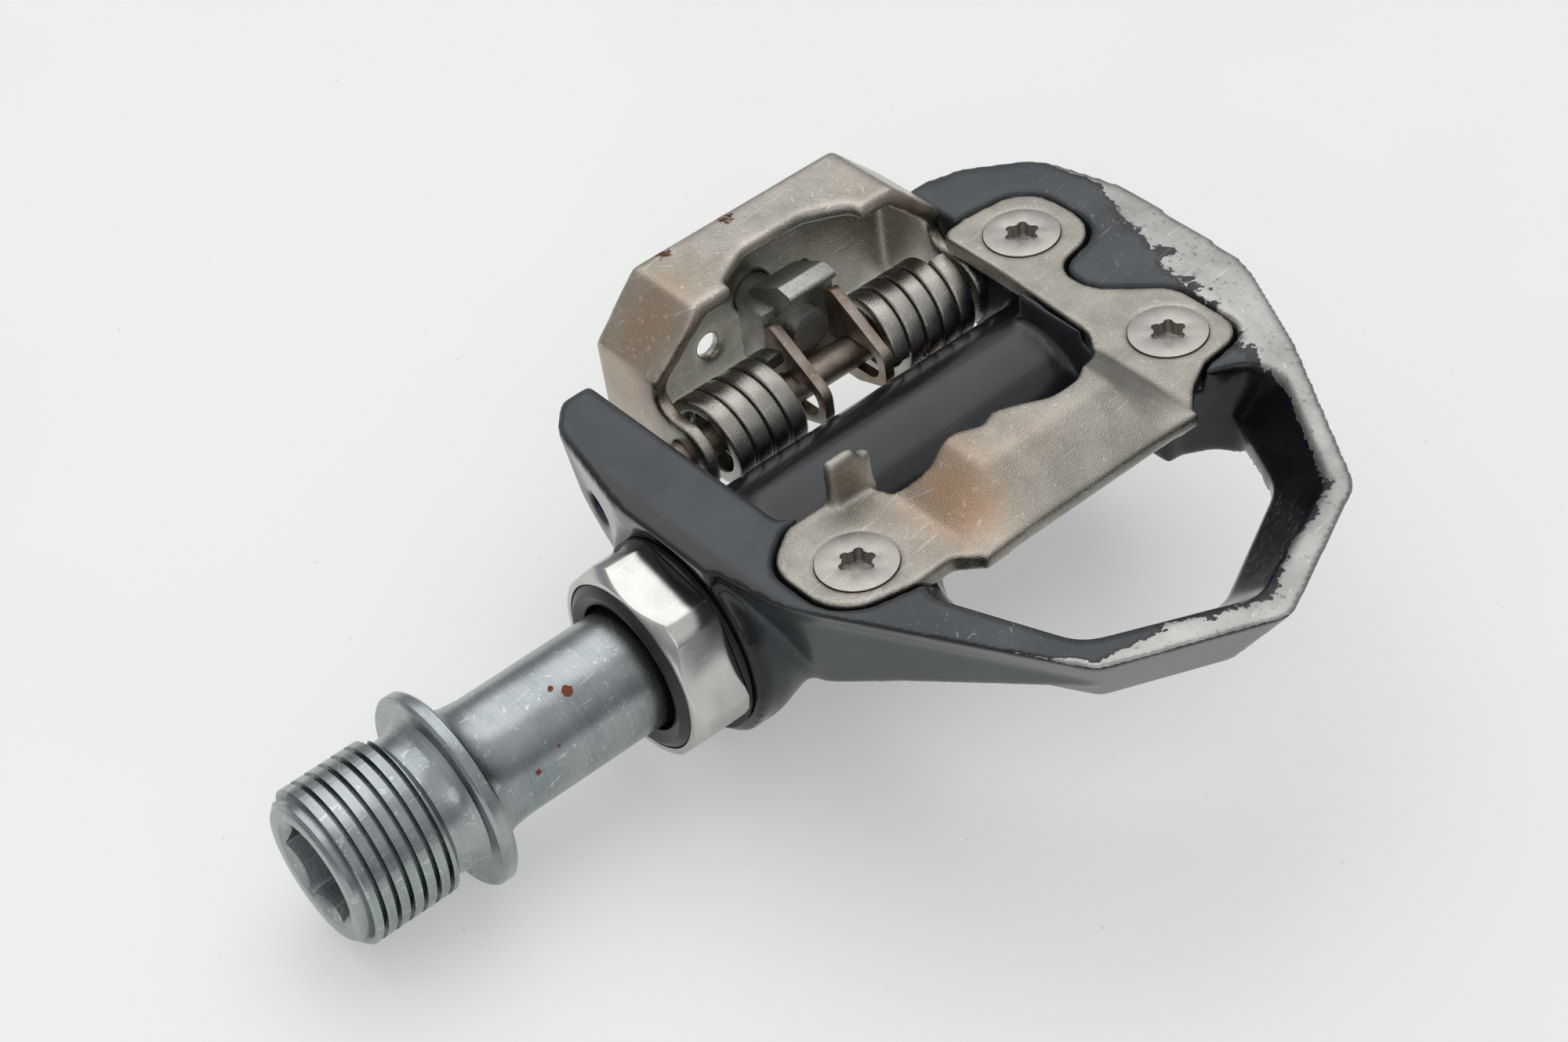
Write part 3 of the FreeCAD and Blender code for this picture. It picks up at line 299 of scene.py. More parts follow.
# ---------------------------------------------------------------------------
# Shader helpers and shared effects
# ---------------------------------------------------------------------------
class Graph:
    """Short way to write shader nodes into a tree."""

    def __init__(self, tree):
        self.tree = tree

    def put(self, kind, **settings):
        """New node with its settings."""
        made = self.tree.nodes.new(kind)
        for key, value in settings.items():
            setattr(made, key, value)
        return made

    def feed(self, socket, value):
        """Socket fed by another socket or by a plain value."""
        if isinstance(value, bpy.types.NodeSocket):
            self.tree.links.new(value, socket)
        elif value is not None:
            socket.default_value = value

    def place(self):
        """Object position in millimetres."""
        coords = self.put("ShaderNodeTexCoord")
        scaled = self.put("ShaderNodeVectorMath", operation="SCALE")
        self.feed(scaled.inputs[0], coords.outputs["Object"])
        self.feed(scaled.inputs["Scale"], 1000.0)
        return scaled.outputs[0]

    def stretch(self, where, sizes):
        """Position stretched along each axis."""
        made = self.put("ShaderNodeVectorMath", operation="MULTIPLY")
        self.feed(made.inputs[0], where)
        self.feed(made.inputs[1], sizes)
        return made.outputs[0]

    def turn(self, where, angles):
        """Position turned by angles in degrees."""
        made = self.put("ShaderNodeMapping")
        self.feed(made.inputs["Vector"], where)
        made.inputs["Rotation"].default_value = [math.radians(a) for a in angles]
        return made.outputs[0]

    def noise(self, where, scale, detail=3.0, rough=0.5, twist=0.0):
        """Soft random value from 0 to 1."""
        made = self.put("ShaderNodeTexNoise")
        self.feed(made.inputs["Vector"], where)
        self.feed(made.inputs["Scale"], scale)
        self.feed(made.inputs["Detail"], detail)
        self.feed(made.inputs["Roughness"], rough)
        self.feed(made.inputs["Distortion"], twist)
        return made.outputs["Fac"]

    def math(self, operation, first, second=None, clamp=False):
        """One arithmetic step."""
        made = self.put("ShaderNodeMath", operation=operation, use_clamp=clamp)
        self.feed(made.inputs[0], first)
        self.feed(made.inputs[1], second)
        return made.outputs[0]

    def ramp(self, value, low, high, out_low=0.0, out_high=1.0):
        """Smooth step from low to high."""
        made = self.put("ShaderNodeMapRange", interpolation_type="SMOOTHSTEP")
        self.feed(made.inputs["Value"], value)
        self.feed(made.inputs["From Min"], low)
        self.feed(made.inputs["From Max"], high)
        self.feed(made.inputs["To Min"], out_low)
        self.feed(made.inputs["To Max"], out_high)
        return made.outputs["Result"]

    def blend(self, share, first, second):
        """Colour mix."""
        made = self.put("ShaderNodeMix", data_type="RGBA")
        self.feed(made.inputs["Factor"], share)
        self.feed(made.inputs["A"], first if not isinstance(first, tuple) else (*first, 1.0))
        self.feed(made.inputs["B"], second if not isinstance(second, tuple) else (*second, 1.0))
        return made.outputs["Result"]

    def between(self, share, first, second):
        """Number mix."""
        made = self.put("ShaderNodeMix", data_type="FLOAT")
        self.feed(made.inputs["Factor"], share)
        self.feed(made.inputs["A"], first)
        self.feed(made.inputs["B"], second)
        return made.outputs["Result"]

    def marked(self, name):
        """Per-vertex value carried by the mesh."""
        return self.put("ShaderNodeAttribute", attribute_name=name).outputs["Fac"]

    def bump(self, height, strength, depth, under=None):
        """Normal tilted by a height."""
        made = self.put("ShaderNodeBump")
        self.feed(made.inputs["Height"], height)
        self.feed(made.inputs["Strength"], strength)
        self.feed(made.inputs["Distance"], depth)
        self.feed(made.inputs["Normal"], under)
        return made.outputs["Normal"]

    def effect(self, group, **values):
        """Shared effect placed with its own values; returns its outputs."""
        made = self.put("ShaderNodeGroup", node_tree=group)
        for key, value in values.items():
            self.feed(made.inputs[key.replace("_", " ")], value)
        return made.outputs


def effect_group(name, inputs, outputs):
    """Empty shader group with float inputs and outputs, ready to be wired."""
    tree = bpy.data.node_groups.new(name, "ShaderNodeTree")
    for label, value in inputs:
        socket = tree.interface.new_socket(label, in_out="INPUT", socket_type="NodeSocketFloat")
        socket.default_value = value
    for label in outputs:
        tree.interface.new_socket(label, in_out="OUTPUT", socket_type="NodeSocketFloat")
    graph = Graph(tree)
    given = tree.nodes.new("NodeGroupInput").outputs
    result = tree.nodes.new("NodeGroupOutput").inputs
    return graph, given, result


def rubbed_group():
    """Bare-metal mask: a marked zone with a ragged, chipped border."""
    g, given, result = effect_group(
        "rubbed through", [("Zone", 0.0), ("Ragged", 0.6), ("Chip Scale", 0.8), ("Sharpness", 0.06)],
        ["Bare", "Border"])
    where = g.place()
    broad = g.noise(where, given["Chip Scale"], 5.0, 0.62, 0.3)
    fine = g.noise(where, g.math("MULTIPLY", given["Chip Scale"], 5.0), 3.0, 0.6)
    rough = g.math("ADD", g.math("MULTIPLY", g.math("SUBTRACT", broad, 0.5), 2.0),
                   g.math("MULTIPLY", g.math("SUBTRACT", fine, 0.5), 0.6))
    level = g.math("ADD", given["Zone"], g.math("MULTIPLY", rough, given["Ragged"]))
    top = g.math("ADD", 0.5, given["Sharpness"])
    g.feed(result["Bare"], g.ramp(level, 0.5, top))
    outer = g.ramp(level, 0.27, 0.42)
    g.feed(result["Border"], g.math("SUBTRACT", outer, g.ramp(level, 0.5, top), clamp=True))
    return g.tree


def grain_group():
    """Fine surface grain and broad tone change, both 0..1."""
    g, given, result = effect_group("metal grain", [("Fine", 12.0), ("Broad", 0.25)],
                                    ["Grain", "Tone"])
    where = g.place()
    g.feed(result["Grain"], g.noise(where, given["Fine"], 2.0, 0.6))
    g.feed(result["Tone"], g.noise(where, given["Broad"], 4.0, 0.55, 0.4))
    return g.tree


def scratch_group():
    """Thin scratches in three crossing directions, as a mask."""
    g, given, result = effect_group("scratches", [("Scale", 0.5), ("Amount", 0.5)], ["Lines"])
    where = g.place()
    found = None
    for angles in ((12, 8, 33), (-20, 14, -48), (6, -30, 80)):
        lane = g.stretch(g.turn(where, angles), (0.12, 3.2, 3.2))
        line = g.noise(lane, given["Scale"], 2.0, 0.7)
        mask = g.ramp(line, 0.655, 0.70)
        found = mask if found is None else g.math("MAXIMUM", found, mask)
    g.feed(result["Lines"], g.math("MULTIPLY", found, given["Amount"]))
    return g.tree


def spots_group():
    """Scattered small spots such as rust or dirt, with their depth of tone."""
    g, given, result = effect_group("spots", [("Scale", 0.8), ("Share", 0.3), ("Zone", 0.0)],
                                    ["Spot", "Depth"])
    where = g.place()
    patch = g.noise(where, given["Scale"], 4.0, 0.65, 0.8)
    level = g.math("ADD", patch, g.math("MULTIPLY", given["Zone"], 0.6))
    low = g.math("SUBTRACT", 1.0, g.math("MULTIPLY", given["Share"], 0.6))
    g.feed(result["Spot"], g.ramp(level, g.math("SUBTRACT", low, 0.06), low))
    g.feed(result["Depth"], g.noise(where, g.math("MULTIPLY", given["Scale"], 4.0), 3.0, 0.6))
    return g.tree


RUBBED = rubbed_group()
GRAIN = grain_group()
SCRATCHES = scratch_group()
SPOTS = spots_group()


def material(name):
    """New node material; returns it, its graph and its shader's sockets."""
    made = bpy.data.materials.new(name)
    made.use_nodes = True
    shader = made.node_tree.nodes["Principled BSDF"]
    return made, Graph(made.node_tree), shader.inputs


FRESH_SCRATCH = (0.80, 0.79, 0.77)
POLISHED_EDGE = (0.78, 0.76, 0.73)
# colour laid into hollows to darken them
RECESS_DARK_COLOUR = (0.035, 0.030, 0.026)


def metal(name, colour, dark, rough, grain=10.0, bump=0.02, scratch=0.25, rust=0.0,
          rust_colour=(0.16, 0.055, 0.02), tint=None, recess_dark=0.5, rough_spread=0.12):
    """Bare or plated metal: two tones, grain, scratches, rust, marked tint and a darker, rougher colour
    in hollows.
    """
    made, g, socket = material(name)
    grain_out = g.effect(GRAIN, Fine=grain, Broad=0.3)
    lines = g.effect(SCRATCHES, Scale=0.55, Amount=scratch)["Lines"]
    tone = g.ramp(grain_out["Tone"], 0.3, 0.7)
    base = g.blend(tone, dark, colour)
    speckle = g.ramp(grain_out["Grain"], 0.35, 0.75)
    base = g.blend(g.math("MULTIPLY", speckle, 0.3), base, tuple(min(1.0, c * 1.25) for c in colour))
    if tint is not None:
        base = g.blend(g.math("MULTIPLY", g.marked("tint"), 1.0, clamp=True), base, tint)
    base = g.blend(lines, base, FRESH_SCRATCH)
    worn_edge = g.ramp(g.marked("edge"), 0.25, 0.8)
    base = g.blend(g.math("MULTIPLY", worn_edge, 0.5), base, POLISHED_EDGE)
    roughness = g.math("ADD", rough, g.math("MULTIPLY", g.math("SUBTRACT", grain_out["Grain"], 0.5),
                                            2.0 * rough_spread))
    metallic = 1.0
    # darker, rougher colour in the hollows marked on the mesh
    hollow = g.ramp(g.marked("hollow"), 0.15, 0.9)
    recess_share = g.math("MULTIPLY", hollow, recess_dark)
    base = g.blend(recess_share, base, RECESS_DARK_COLOUR)
    roughness = g.between(recess_share, roughness, 0.75)
    if rust > 0.0:
        spot = g.effect(SPOTS, Scale=0.9, Share=rust, Zone=g.marked("rust"))
        rusty = g.blend(spot["Depth"], rust_colour, tuple(c * 0.35 for c in rust_colour))
        base = g.blend(spot["Spot"], base, rusty)
        roughness = g.between(spot["Spot"], roughness, 0.85)
        metallic = g.between(spot["Spot"], 1.0, 0.15)
    g.feed(socket["Base Color"], base)
    g.feed(socket["Roughness"], roughness)
    g.feed(socket["Metallic"], metallic)
    height = g.math("ADD", grain_out["Grain"], g.math("MULTIPLY", lines, -0.6))
    g.feed(socket["Normal"], g.bump(height, 1.0, bump * MM))
    return made


def body_finish():
    """Dark blue-grey coat over cast alloy, rubbed bare along the rim; its shiny stretches carry painted
    shade.
    """
    made, g, socket = material("body coat")
    grain_out = g.effect(GRAIN, Fine=9.0, Broad=0.16)
    lines = g.effect(SCRATCHES, Scale=0.9, Amount=1.0)["Lines"]
    bare_out = g.effect(RUBBED, Zone=g.marked("rub"), Ragged=0.62, Chip_Scale=0.38, Sharpness=0.05)
    nicks = g.effect(RUBBED, Zone=g.math("MULTIPLY", g.marked("edge"), 0.52), Ragged=0.75,
                     Chip_Scale=1.3, Sharpness=0.05)
    scuffed = g.math("MULTIPLY", lines, g.marked("scuff"), clamp=True)
    bare = g.math("MAXIMUM", bare_out["Bare"], g.math("MULTIPLY", nicks["Bare"], 0.85))
    bare = g.math("MAXIMUM", bare, g.math("MULTIPLY", scuffed, 0.55))
    coat = g.blend(g.ramp(grain_out["Tone"], 0.3, 0.7), (0.024, 0.030, 0.035), (0.042, 0.050, 0.057))
    coat = g.blend(g.math("MULTIPLY", g.ramp(grain_out["Grain"], 0.45, 0.8), 0.35), coat,
                   (0.095, 0.107, 0.118))
    # painted shade: the shiny stretches (barrel top, lip, inner slopes of the loop) are painted near
    # black, on top of their real lower roughness
    coat = g.blend(g.marked("gloss_and_shade"), coat, (0.010, 0.012, 0.015))
    coat = g.blend(bare_out["Border"], coat, (0.012, 0.014, 0.017))
    alloy = g.blend(g.ramp(grain_out["Tone"], 0.25, 0.75), (0.30, 0.295, 0.28), (0.47, 0.46, 0.44))
    alloy = g.blend(g.math("MULTIPLY", lines, 0.6), alloy, (0.68, 0.67, 0.65))
    pits = g.ramp(g.noise(g.place(), 1.4, 5.0, 0.72), 0.56, 0.68)
    alloy = g.blend(g.math("MULTIPLY", pits, 0.55), alloy, (0.10, 0.10, 0.10))
    g.feed(socket["Base Color"], g.blend(bare, coat, alloy))
    g.feed(socket["Metallic"], g.between(bare, 0.55, 1.0))
    dull = g.between(g.marked("gloss_and_shade"), 0.40, 0.13)
    dull = g.math("ADD", dull, g.math("MULTIPLY", g.math("SUBTRACT", grain_out["Grain"], 0.5), 0.16))
    g.feed(socket["Roughness"], g.between(bare, dull, 0.36))
    g.feed(socket["Coat Weight"], g.between(bare, 0.35, 0.0))
    socket["Coat Roughness"].default_value = 0.12
    height = g.math("ADD", g.math("MULTIPLY", grain_out["Grain"], 0.35), g.math("MULTIPLY", bare, -1.2))
    height = g.math("ADD", height, g.math("MULTIPLY", lines, -0.3))
    g.feed(socket["Normal"], g.bump(height, 1.0, 0.03 * MM))
    return made


def dark_finish(name, colour, rough):
    """Rubber or moulded piece with a dusty grain."""
    made, g, socket = material(name)
    grain_out = g.effect(GRAIN, Fine=7.0, Broad=0.5)
    dust = g.math("MULTIPLY", g.ramp(grain_out["Tone"], 0.5, 0.8), 0.25)
    base = g.blend(dust, colour, tuple(min(1.0, c + 0.08) for c in colour))
    g.feed(socket["Base Color"], base)
    g.feed(socket["Roughness"], g.between(grain_out["Grain"], rough - 0.1, rough + 0.15))
    g.feed(socket["Normal"], g.bump(grain_out["Grain"], 1.0, 0.02 * MM))
    return made


SPINDLE_RADIUS = 5.5  # millimetres
AXLE_RUST = [  # distance along the axle in mm, angle round it from the top in degrees, size in mm
    (12.0, 30, 0.55), (11.0, 20, 0.3), (6.5, 75, 0.3), (10.5, 130, 0.3), (9.0, 65, 0.2),
]


def turned_steel():
    """Satin turned steel: fine rings round the axle, scratches and a few rust spots."""
    made, g, socket = material("turned steel")
    where = g.place()
    rings = g.noise(g.stretch(where, (0.05, 9.0, 0.05)), 1.0, 3.0, 0.7)
    grain_out = g.effect(GRAIN, Fine=11.0, Broad=0.22)
    lines = g.effect(SCRATCHES, Scale=0.5, Amount=0.35)["Lines"]
    base = g.blend(g.ramp(grain_out["Tone"], 0.3, 0.7), (0.25, 0.275, 0.288), (0.36, 0.385, 0.395))
    base = g.blend(g.math("MULTIPLY", g.ramp(rings, 0.4, 0.7), 0.25), base, (0.55, 0.58, 0.60))
    base = g.blend(lines, base, (0.78, 0.80, 0.81))
    # painted shade: darker inside the hex socket at the axle's end and in a patch on top of the spindle
    base = g.blend(g.math("MULTIPLY", g.marked("recess_dark"), 0.8), base, (0.05, 0.05, 0.05))
    rusted = None
    ragged = g.math("MULTIPLY", g.math("SUBTRACT", g.noise(where, 3.0, 3.0, 0.6), 0.5), 0.5)
    for along, angle, size in AXLE_RUST:
        across = SPINDLE_RADIUS * math.sin(math.radians(angle))
        height = SPINDLE_RADIUS * math.cos(math.radians(angle))
        gap = g.put("ShaderNodeVectorMath", operation="DISTANCE")
        g.feed(gap.inputs[0], where)
        gap.inputs[1].default_value = (across, along, height)
        inside = g.math("SUBTRACT", size, g.math("ADD", gap.outputs["Value"], ragged))
        mask = g.ramp(inside, 0.0, 0.08)
        rusted = mask if rusted is None else g.math("MAXIMUM", rusted, mask)
    rusty = g.blend(g.noise(where, 5.0, 3.0, 0.6), (0.30, 0.085, 0.025), (0.09, 0.028, 0.012))
    base = g.blend(rusted, base, rusty)
    g.feed(socket["Base Color"], base)
    g.feed(socket["Metallic"], g.between(rusted, 1.0, 0.1))
    rough = g.math("ADD", 0.27, g.math("MULTIPLY", g.math("SUBTRACT", grain_out["Grain"], 0.5), 0.18))
    g.feed(socket["Roughness"], g.between(rusted, rough, 0.9))
    height = g.math("ADD", g.math("MULTIPLY", rings, 0.7), g.math("MULTIPLY", grain_out["Grain"], 0.4))
    g.feed(socket["Normal"], g.bump(height, 1.0, 0.012 * MM))
    return made


BODY = body_finish()
AXLE_STEEL = turned_steel()
LOCK_CHROME = metal("polished lock bolt", (0.60, 0.59, 0.565), (0.50, 0.49, 0.47), 0.15, 14.0,
                    0.006, 0.22, rough_spread=0.05, recess_dark=0.6)
PLATE = metal("nickel plate", (0.43, 0.405, 0.36), (0.32, 0.30, 0.265), 0.23, 9.0, 0.06, 0.22,
              rust=0.16, tint=(0.40, 0.275, 0.185))
CLAW = metal("nickel claw", (0.46, 0.43, 0.385), (0.33, 0.31, 0.275), 0.21, 8.0, 0.05, 0.3,
             rust=0.22, tint=(0.40, 0.285, 0.195))
SCREW = metal("screw head", (0.45, 0.425, 0.395), (0.36, 0.34, 0.32), 0.30, 12.0, 0.03, 0.2)
SPRING = metal("spring wire", (0.44, 0.42, 0.39), (0.31, 0.295, 0.27), 0.27, 10.0, 0.03, 0.25,
               rust=0.36)
PIN_STEEL = metal("brown pin steel", (0.40, 0.36, 0.32), (0.24, 0.17, 0.12), 0.38, 9.0, 0.04, 0.2,
                  rust=0.42)
ZINC = metal("adjuster zinc", (0.50, 0.50, 0.47), (0.36, 0.36, 0.34), 0.38, 7.0, 0.08, 0.25,
             rust=0.2)
BEARING = metal("bearing steel", (0.62, 0.63, 0.64), (0.50, 0.51, 0.52), 0.16, 16.0, 0.005, 0.1)
SEAL = dark_finish("dark seal", (0.012, 0.012, 0.013), 0.30)
RING = dark_finish("dark ring", (0.008, 0.008, 0.009), 0.45)
BUSHING = dark_finish("dark bushing", (0.05, 0.05, 0.055), 0.55)


# ---------------------------------------------------------------------------
# Marks that place wear, tint and rust where the real part has them, the darkened hollows, and the shiny
# stretches with their painted shade
# ---------------------------------------------------------------------------
def blobs(co, places):
    """Sum of soft round patches; each is (x, y, z, radius, amount) in millimetres."""
    out = np.zeros(len(co))
    for x, y, z, radius, amount in places:
        away = ((co / MM - (x, y, z)) ** 2).sum(1)
        out += amount * np.exp(-away / (radius * radius))
    return out


def ease_in(value, low, high):
    """Smooth step on an array."""
    t = np.clip((value - low) / (high - low), 0, 1)
    return t * t * (3 - 2 * t)


RIM = [  # deck outline (x, y) with the width rubbed bare there, millimetres
    (-14.0, 81.2, 0.3), (-8.0, 83.2, 1.8), (0.4, 83.6, 6.0), (11.1, 82.3, 7.0),
    (21.4, 77.1, 5.6), (29.5, 72.1, 4.6), (36.5, 67.5, 3.2), (43.2, 53.0, 3.6),
    (39.0, 45.0, 2.6), (36.5, 38.5, 1.2), (27.7, 33.7, 0.3), (18.7, 28.8, 0.1),
]


def rim_rub(co):
    """How far each point lies inside the rubbed band along the outline, 1 at its edge."""
    xy = co[:, :2] / MM
    best = np.full(len(co), -1.0)
    for (x0, y0, w0), (x1, y1, w1) in zip(RIM[:-1], RIM[1:]):
        step = np.array([x1 - x0, y1 - y0])
        t = np.clip(((xy - (x0, y0)) @ step) / (step @ step), 0, 1)
        away = np.hypot(*(xy - ((x0, y0) + t[:, None] * step)).T)
        width = w0 + (w1 - w0) * t
        best = np.maximum(best, 1.0 - away / np.maximum(width, 0.05))
    return best


def mark_casting(obj):
    """Rubbed rim, scuffed deck and the shiny stretches of the coat, which are smoother and also painted
    darker as shade.
    """
    mesh = obj.data
    co = points_of(mesh)
    up = normals_of(mesh)[:, 2]
    x, y, z = (co / MM).T
    deck_edge, deck = 9.4, 10.6
    rub = np.clip(rim_rub(co) * 0.9 + 0.30, -0.2, 0.95) * ease_in(z, deck_edge, deck)
    rub *= ease_in(up, -0.1, 0.35)
    mark(mesh, "rub", np.maximum(rub, 0))
    mark(mesh, "scuff", ease_in(up, 0.6, 0.95) * (0.06 + blobs(co, [
        (-2, 80, 11, 7, 0.5), (28, 35, 11, 6, 0.6)])))
    radius = np.hypot(x, z)
    lip = ease_in(radius, 8.4, 9.2) * (1 - ease_in(y, 26.4, 27.4))
    barrel = (1 - ease_in(radius, 8.9, 9.3)) * ease_in(y, 34, 35) * (1 - ease_in(y, 69, 70))
    inner = (1 - ease_in(up, 0.75, 0.9)) * ease_in(x, 14, 18) * ease_in(up, -0.35, 0.05)
    # smoother coat on the lip, barrel top and inner slopes, also painted darker there as shade
    mark(mesh, "gloss_and_shade", np.clip(np.maximum(np.maximum(lip, barrel * 0.7), inner * 0.9), 0, 1))
    mark_edges(obj, 0.30 * MM)


def mark_sheet(obj, tint, rust):
    """Bronze tint and rust patches on a folded sheet, with its worn edges."""
    co = points_of(obj.data)
    mark(obj.data, "tint", np.clip(blobs(co, tint), 0, 1))
    mark(obj.data, "rust", np.clip(blobs(co, rust), 0, 1))
    mark_edges(obj, 0.25 * MM)


# ---------------------------------------------------------------------------
# Pieces
# ---------------------------------------------------------------------------
WOUND_WIRE = wound_wire_tree()


def make_axle():
    """Axle with its left-hand thread cut in."""
    crest, root, pitch = 7.144, 6.38, 1.27
    length, start = 9.9, -12.7
    mouth, floor = 1.22, 0.18
    deep = crest + 0.25 - root
    groove = wound(
        "thread_groove", WOUND_WIRE, Turns=length / pitch, Rise=length * MM,
        Coil_Radius=(root + deep / 2) * MM, Radial_Size=deep * MM,
        Outer_Width=mouth * MM, Inner_Width=floor * MM, Corner=0.0, Right_Hand=False,
        Centre=(0.0, start * MM, 0.0), Steps=96)
    axle = eased("axle_threaded", "axle", 0.12 * MM)
    carve = axle.modifiers.new("thread", "BOOLEAN")
    carve.operation = "DIFFERENCE"
    carve.solver = "EXACT"
    carve.object = groove
    settled(axle)
    bpy.data.objects.remove(groove)
    shade_smooth(axle, 32)
    co = points_of(axle.data)
    # painted shade: patches darkening the hex socket and the top of the spindle
    mark(axle.data, "recess_dark", blobs(co, [(0, 19.0, 5.5, 2.2, 0.5), (0, -11.9, 0, 4.2, 0.5)]))
    return finished(axle, "axle", "axle_steel", AXLE_STEEL, "axle")


def make_casting():
    """Cast body with eased edges and blended roots."""
    body = softened("body_casting", "casting", 0.36 * MM, 7)
    mark_casting(body)
    return finished(body, "pedal", "casting_paint", BODY, "casting")


def make_plate():
    """Cleat plate with its raised front claw."""
    plate = softened("cleat_plate_pressed", "cleat_plate", 0.26 * MM, 4)
    relaxed(plate, 16, ease_in(points_of(plate.data)[:, 2] / MM, 11.0, 11.8))
    mark_sheet(plate, [(13.5, 44.0, 12.5, 4.2, 0.9), (17.5, 43.5, 11.5, 3.0, 0.7),
                       (15.0, 52.0, 14.0, 3.0, 0.2)],
               [(13, 46, 13, 3, 0.2)])
    return finished(plate, "pedal", "plate_nickel", PLATE, "cleat_plate")


def make_claw():
    """Sprung rear claw, folded sheet."""
    claw = softened("rear_claw_folded", "rear_claw", 0.26 * MM, 11)
    low, high = np.array(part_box("rear_claw")) / MM
    back_edge = [(low[0] + 1.0, low[1] + share * (high[1] - low[1]), high[2] - 0.2, 1.25, 0.7)
                 for share in (0.25, 0.45)]
    mark_sheet(claw, [(-18.5, 39.5, 15.0, 4.5, 0.9), (-16.0, 64.5, 14.5, 3.5, 0.6),
                      (-19.0, 37.0, 9.0, 4.0, 0.6)], back_edge)
    return finished(claw, "claw", "claw_nickel", CLAW, "rear_claw")


def make_spring(name, node, right_hand, first_angle):
    """Flat-wire coil round the claw's pin, as long as its CAD node."""
    low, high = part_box(node)
    wide, wire_width, wire_depth, corner = 1.9 * MM, 1.82 * MM, 1.2 * MM, 0.28 * MM
    pitch, coil_radius = 2.1 * MM, 3.85 * MM
    pin_x, pin_z = -12.5 * MM, 5.0 * MM
    rise = (high[1] - low[1]) - wide
    coil = wound(name, WOUND_WIRE, Turns=rise / pitch + 0.25, Rise=rise, Coil_Radius=coil_radius,
                 Radial_Size=wire_depth, Outer_Width=wire_width, Inner_Width=wire_width,
                 Corner=corner, Right_Hand=right_hand, Steps=56, Start_Angle=first_angle,
                 Centre=(pin_x, low[1] + wide / 2, pin_z))
    shade_smooth(coil, 50)
    co = points_of(coil.data)
    inner_end = low[1] / MM
    mark(coil.data, "rust", blobs(co, [
        (-9.0, inner_end + 7.2, 3.0, 1.0, 0.42), (-8.3, inner_end + 3.6, 4.0, 0.9, 0.40),
        (-9.8, inner_end + 8.8, 8.3, 0.6, 0.38)]))
    return finished(coil, "pedal", "spring_steel", SPRING, node)


def dress(node, finish, width=0.12):
    """CAD node carried over with its edges broken and its finish on."""
    obj = eased(node + "_finished", node, width * MM)
    slots = {row["node"]: row["material_slot"] for row in frame["record"]["subparts"]}
    bodies = frame["record"]["behaviour"]["bodies"]
    body = [name for name, members in bodies.items() if node in members][0]
    return finished(obj, body, slots[node], finish, node)


make_axle()
make_casting()
make_plate()
make_claw()
make_spring("spring_inboard_wound", "spring_inboard", True, math.pi)
make_spring("spring_outboard_wound", "spring_outboard", False, 0.0)
dress("lock_bolt", LOCK_CHROME, 0.18)
dress("dust_seal", SEAL, 0.12)
dress("plate_screws", SCREW, 0.06)
dress("claw_pin", PIN_STEEL, 0.15)
dress("tension_bolt", ZINC, 0.12)
dress("tension_nut", ZINC, 0.25)
dress("spring_carrier", PIN_STEEL, 0.15)
for kept_node, finish in (("gap_ring", RING), ("inner_cup", BEARING), ("inner_balls", BEARING),
                          ("bushing", BUSHING), ("outer_cup", BEARING), ("outer_balls", BEARING),
                          ("bearing_cone", BEARING), ("lock_nut", BEARING)):
    shown = frame["nodes"][kept_node]
    shown.data.materials.clear()
    shown.data.materials.append(finish)


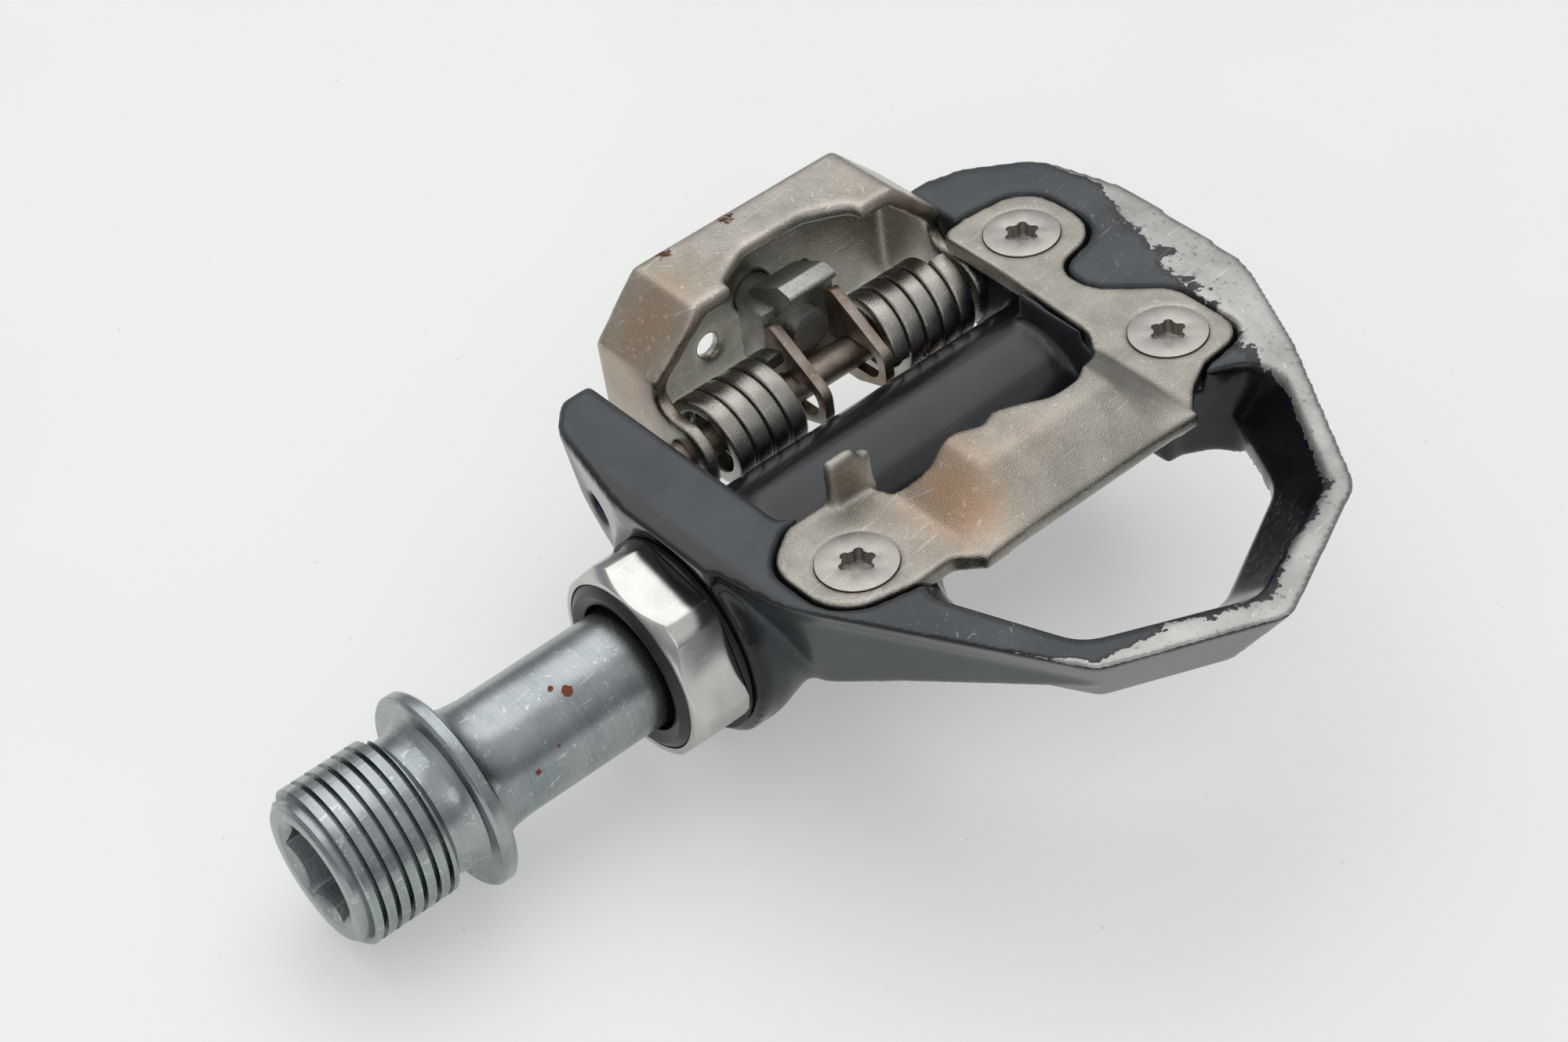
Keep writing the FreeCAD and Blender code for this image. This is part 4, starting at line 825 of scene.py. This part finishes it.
# ---------------------------------------------------------------------------
# Table, light and camera
# ---------------------------------------------------------------------------
def make_table():
    """Pale table top that the pedal lies on."""
    made, g, socket = material("pale table")
    where = g.place()
    tone = g.noise(where, 0.01, 3.0, 0.5)
    base = g.blend(g.ramp(tone, 0.3, 0.7), (0.49, 0.50, 0.49), (0.53, 0.54, 0.525))
    specks = g.math("MULTIPLY", g.ramp(g.noise(where, 1.3, 1.0, 0.5), 0.80, 0.83), 0.5)
    g.feed(socket["Base Color"], g.blend(specks, base, (0.12, 0.12, 0.115)))
    socket["Emission Color"].default_value = (0.97, 1.0, 0.975, 1.0)
    socket["Emission Strength"].default_value = 0.36
    socket["Roughness"].default_value = 0.42
    normal = Vector((0.04, 0.062, 1.0)).normalized()  # the pedal lies a little tilted on it
    under_flange = Vector((0.0, 0.0007, -0.00885))
    half = 2.0
    mesh = bpy.data.meshes.new("table_top")
    lie = normal.to_track_quat("Z", "Y").to_matrix()
    corners = [under_flange + lie @ Vector((sx * half, sy * half, 0))
               for sx, sy in ((-1, -1), (1, -1), (1, 1), (-1, 1))]
    mesh.from_pydata(corners, [], [(0, 1, 2, 3)])
    top = scene_object("table_top", mesh)
    top.data.materials.append(made)


def make_light():
    """Soft light tent: bright ceiling, dimmer sides, one broad key."""
    world = bpy.data.worlds.new("light tent")
    bpy.context.scene.world = world
    world.use_nodes = True
    g = Graph(world.node_tree)
    background = world.node_tree.nodes["Background"]
    coords = g.put("ShaderNodeTexCoord")
    split = g.put("ShaderNodeSeparateXYZ")
    g.feed(split.inputs[0], coords.outputs["Generated"])
    up = g.ramp(split.outputs["Z"], 0.05, 0.75)
    sky = g.blend(up, (0.36, 0.375, 0.39), (1.0, 1.0, 1.0))
    g.feed(background.inputs["Color"], sky)
    background.inputs["Strength"].default_value = 0.72
    middle = Vector((0.005, 0.045, 0.0))
    lights = (("key", (-0.30, 0.30, 0.80), 1.0, 2.9), ("side", (0.60, -0.35, 0.40), 0.5, 0.5))
    for name, spot, size, power in lights:
        lamp = bpy.data.lights.new(name, "AREA")
        lamp.shape = "SQUARE"
        lamp.size = size
        lamp.energy = power
        obj = bpy.data.objects.new(name, lamp)
        obj.location = spot
        aim = middle - Vector(spot)
        obj.rotation_euler = aim.to_track_quat("-Z", "Y").to_euler()
        bpy.context.scene.collection.objects.link(obj)


def make_camera():
    """Camera at the viewing angle, set from its axes."""
    right = Vector((0.638, 0.7612, -0.1167))
    up = Vector((-0.457, 0.4963, 0.7381))
    back = right.cross(up).normalized()
    right.normalize()
    up = back.cross(right)
    turn = Matrix((right, up, back)).transposed()
    lens = bpy.data.cameras.new("view")
    lens.lens = 70.36
    lens.sensor_width = 36.0
    lens.sensor_fit = "HORIZONTAL"
    lens.clip_start = 0.005
    camera = bpy.data.objects.new("view", lens)
    camera.matrix_world = Matrix.Translation((0.15966, -0.0705, 0.17583)) @ turn.to_4x4()
    bpy.context.scene.collection.objects.link(camera)
    bpy.context.scene.camera = camera


make_table()
make_light()
make_camera()
bpy.context.scene.view_settings.view_transform = "Standard"

bpy.context.view_layer.update()
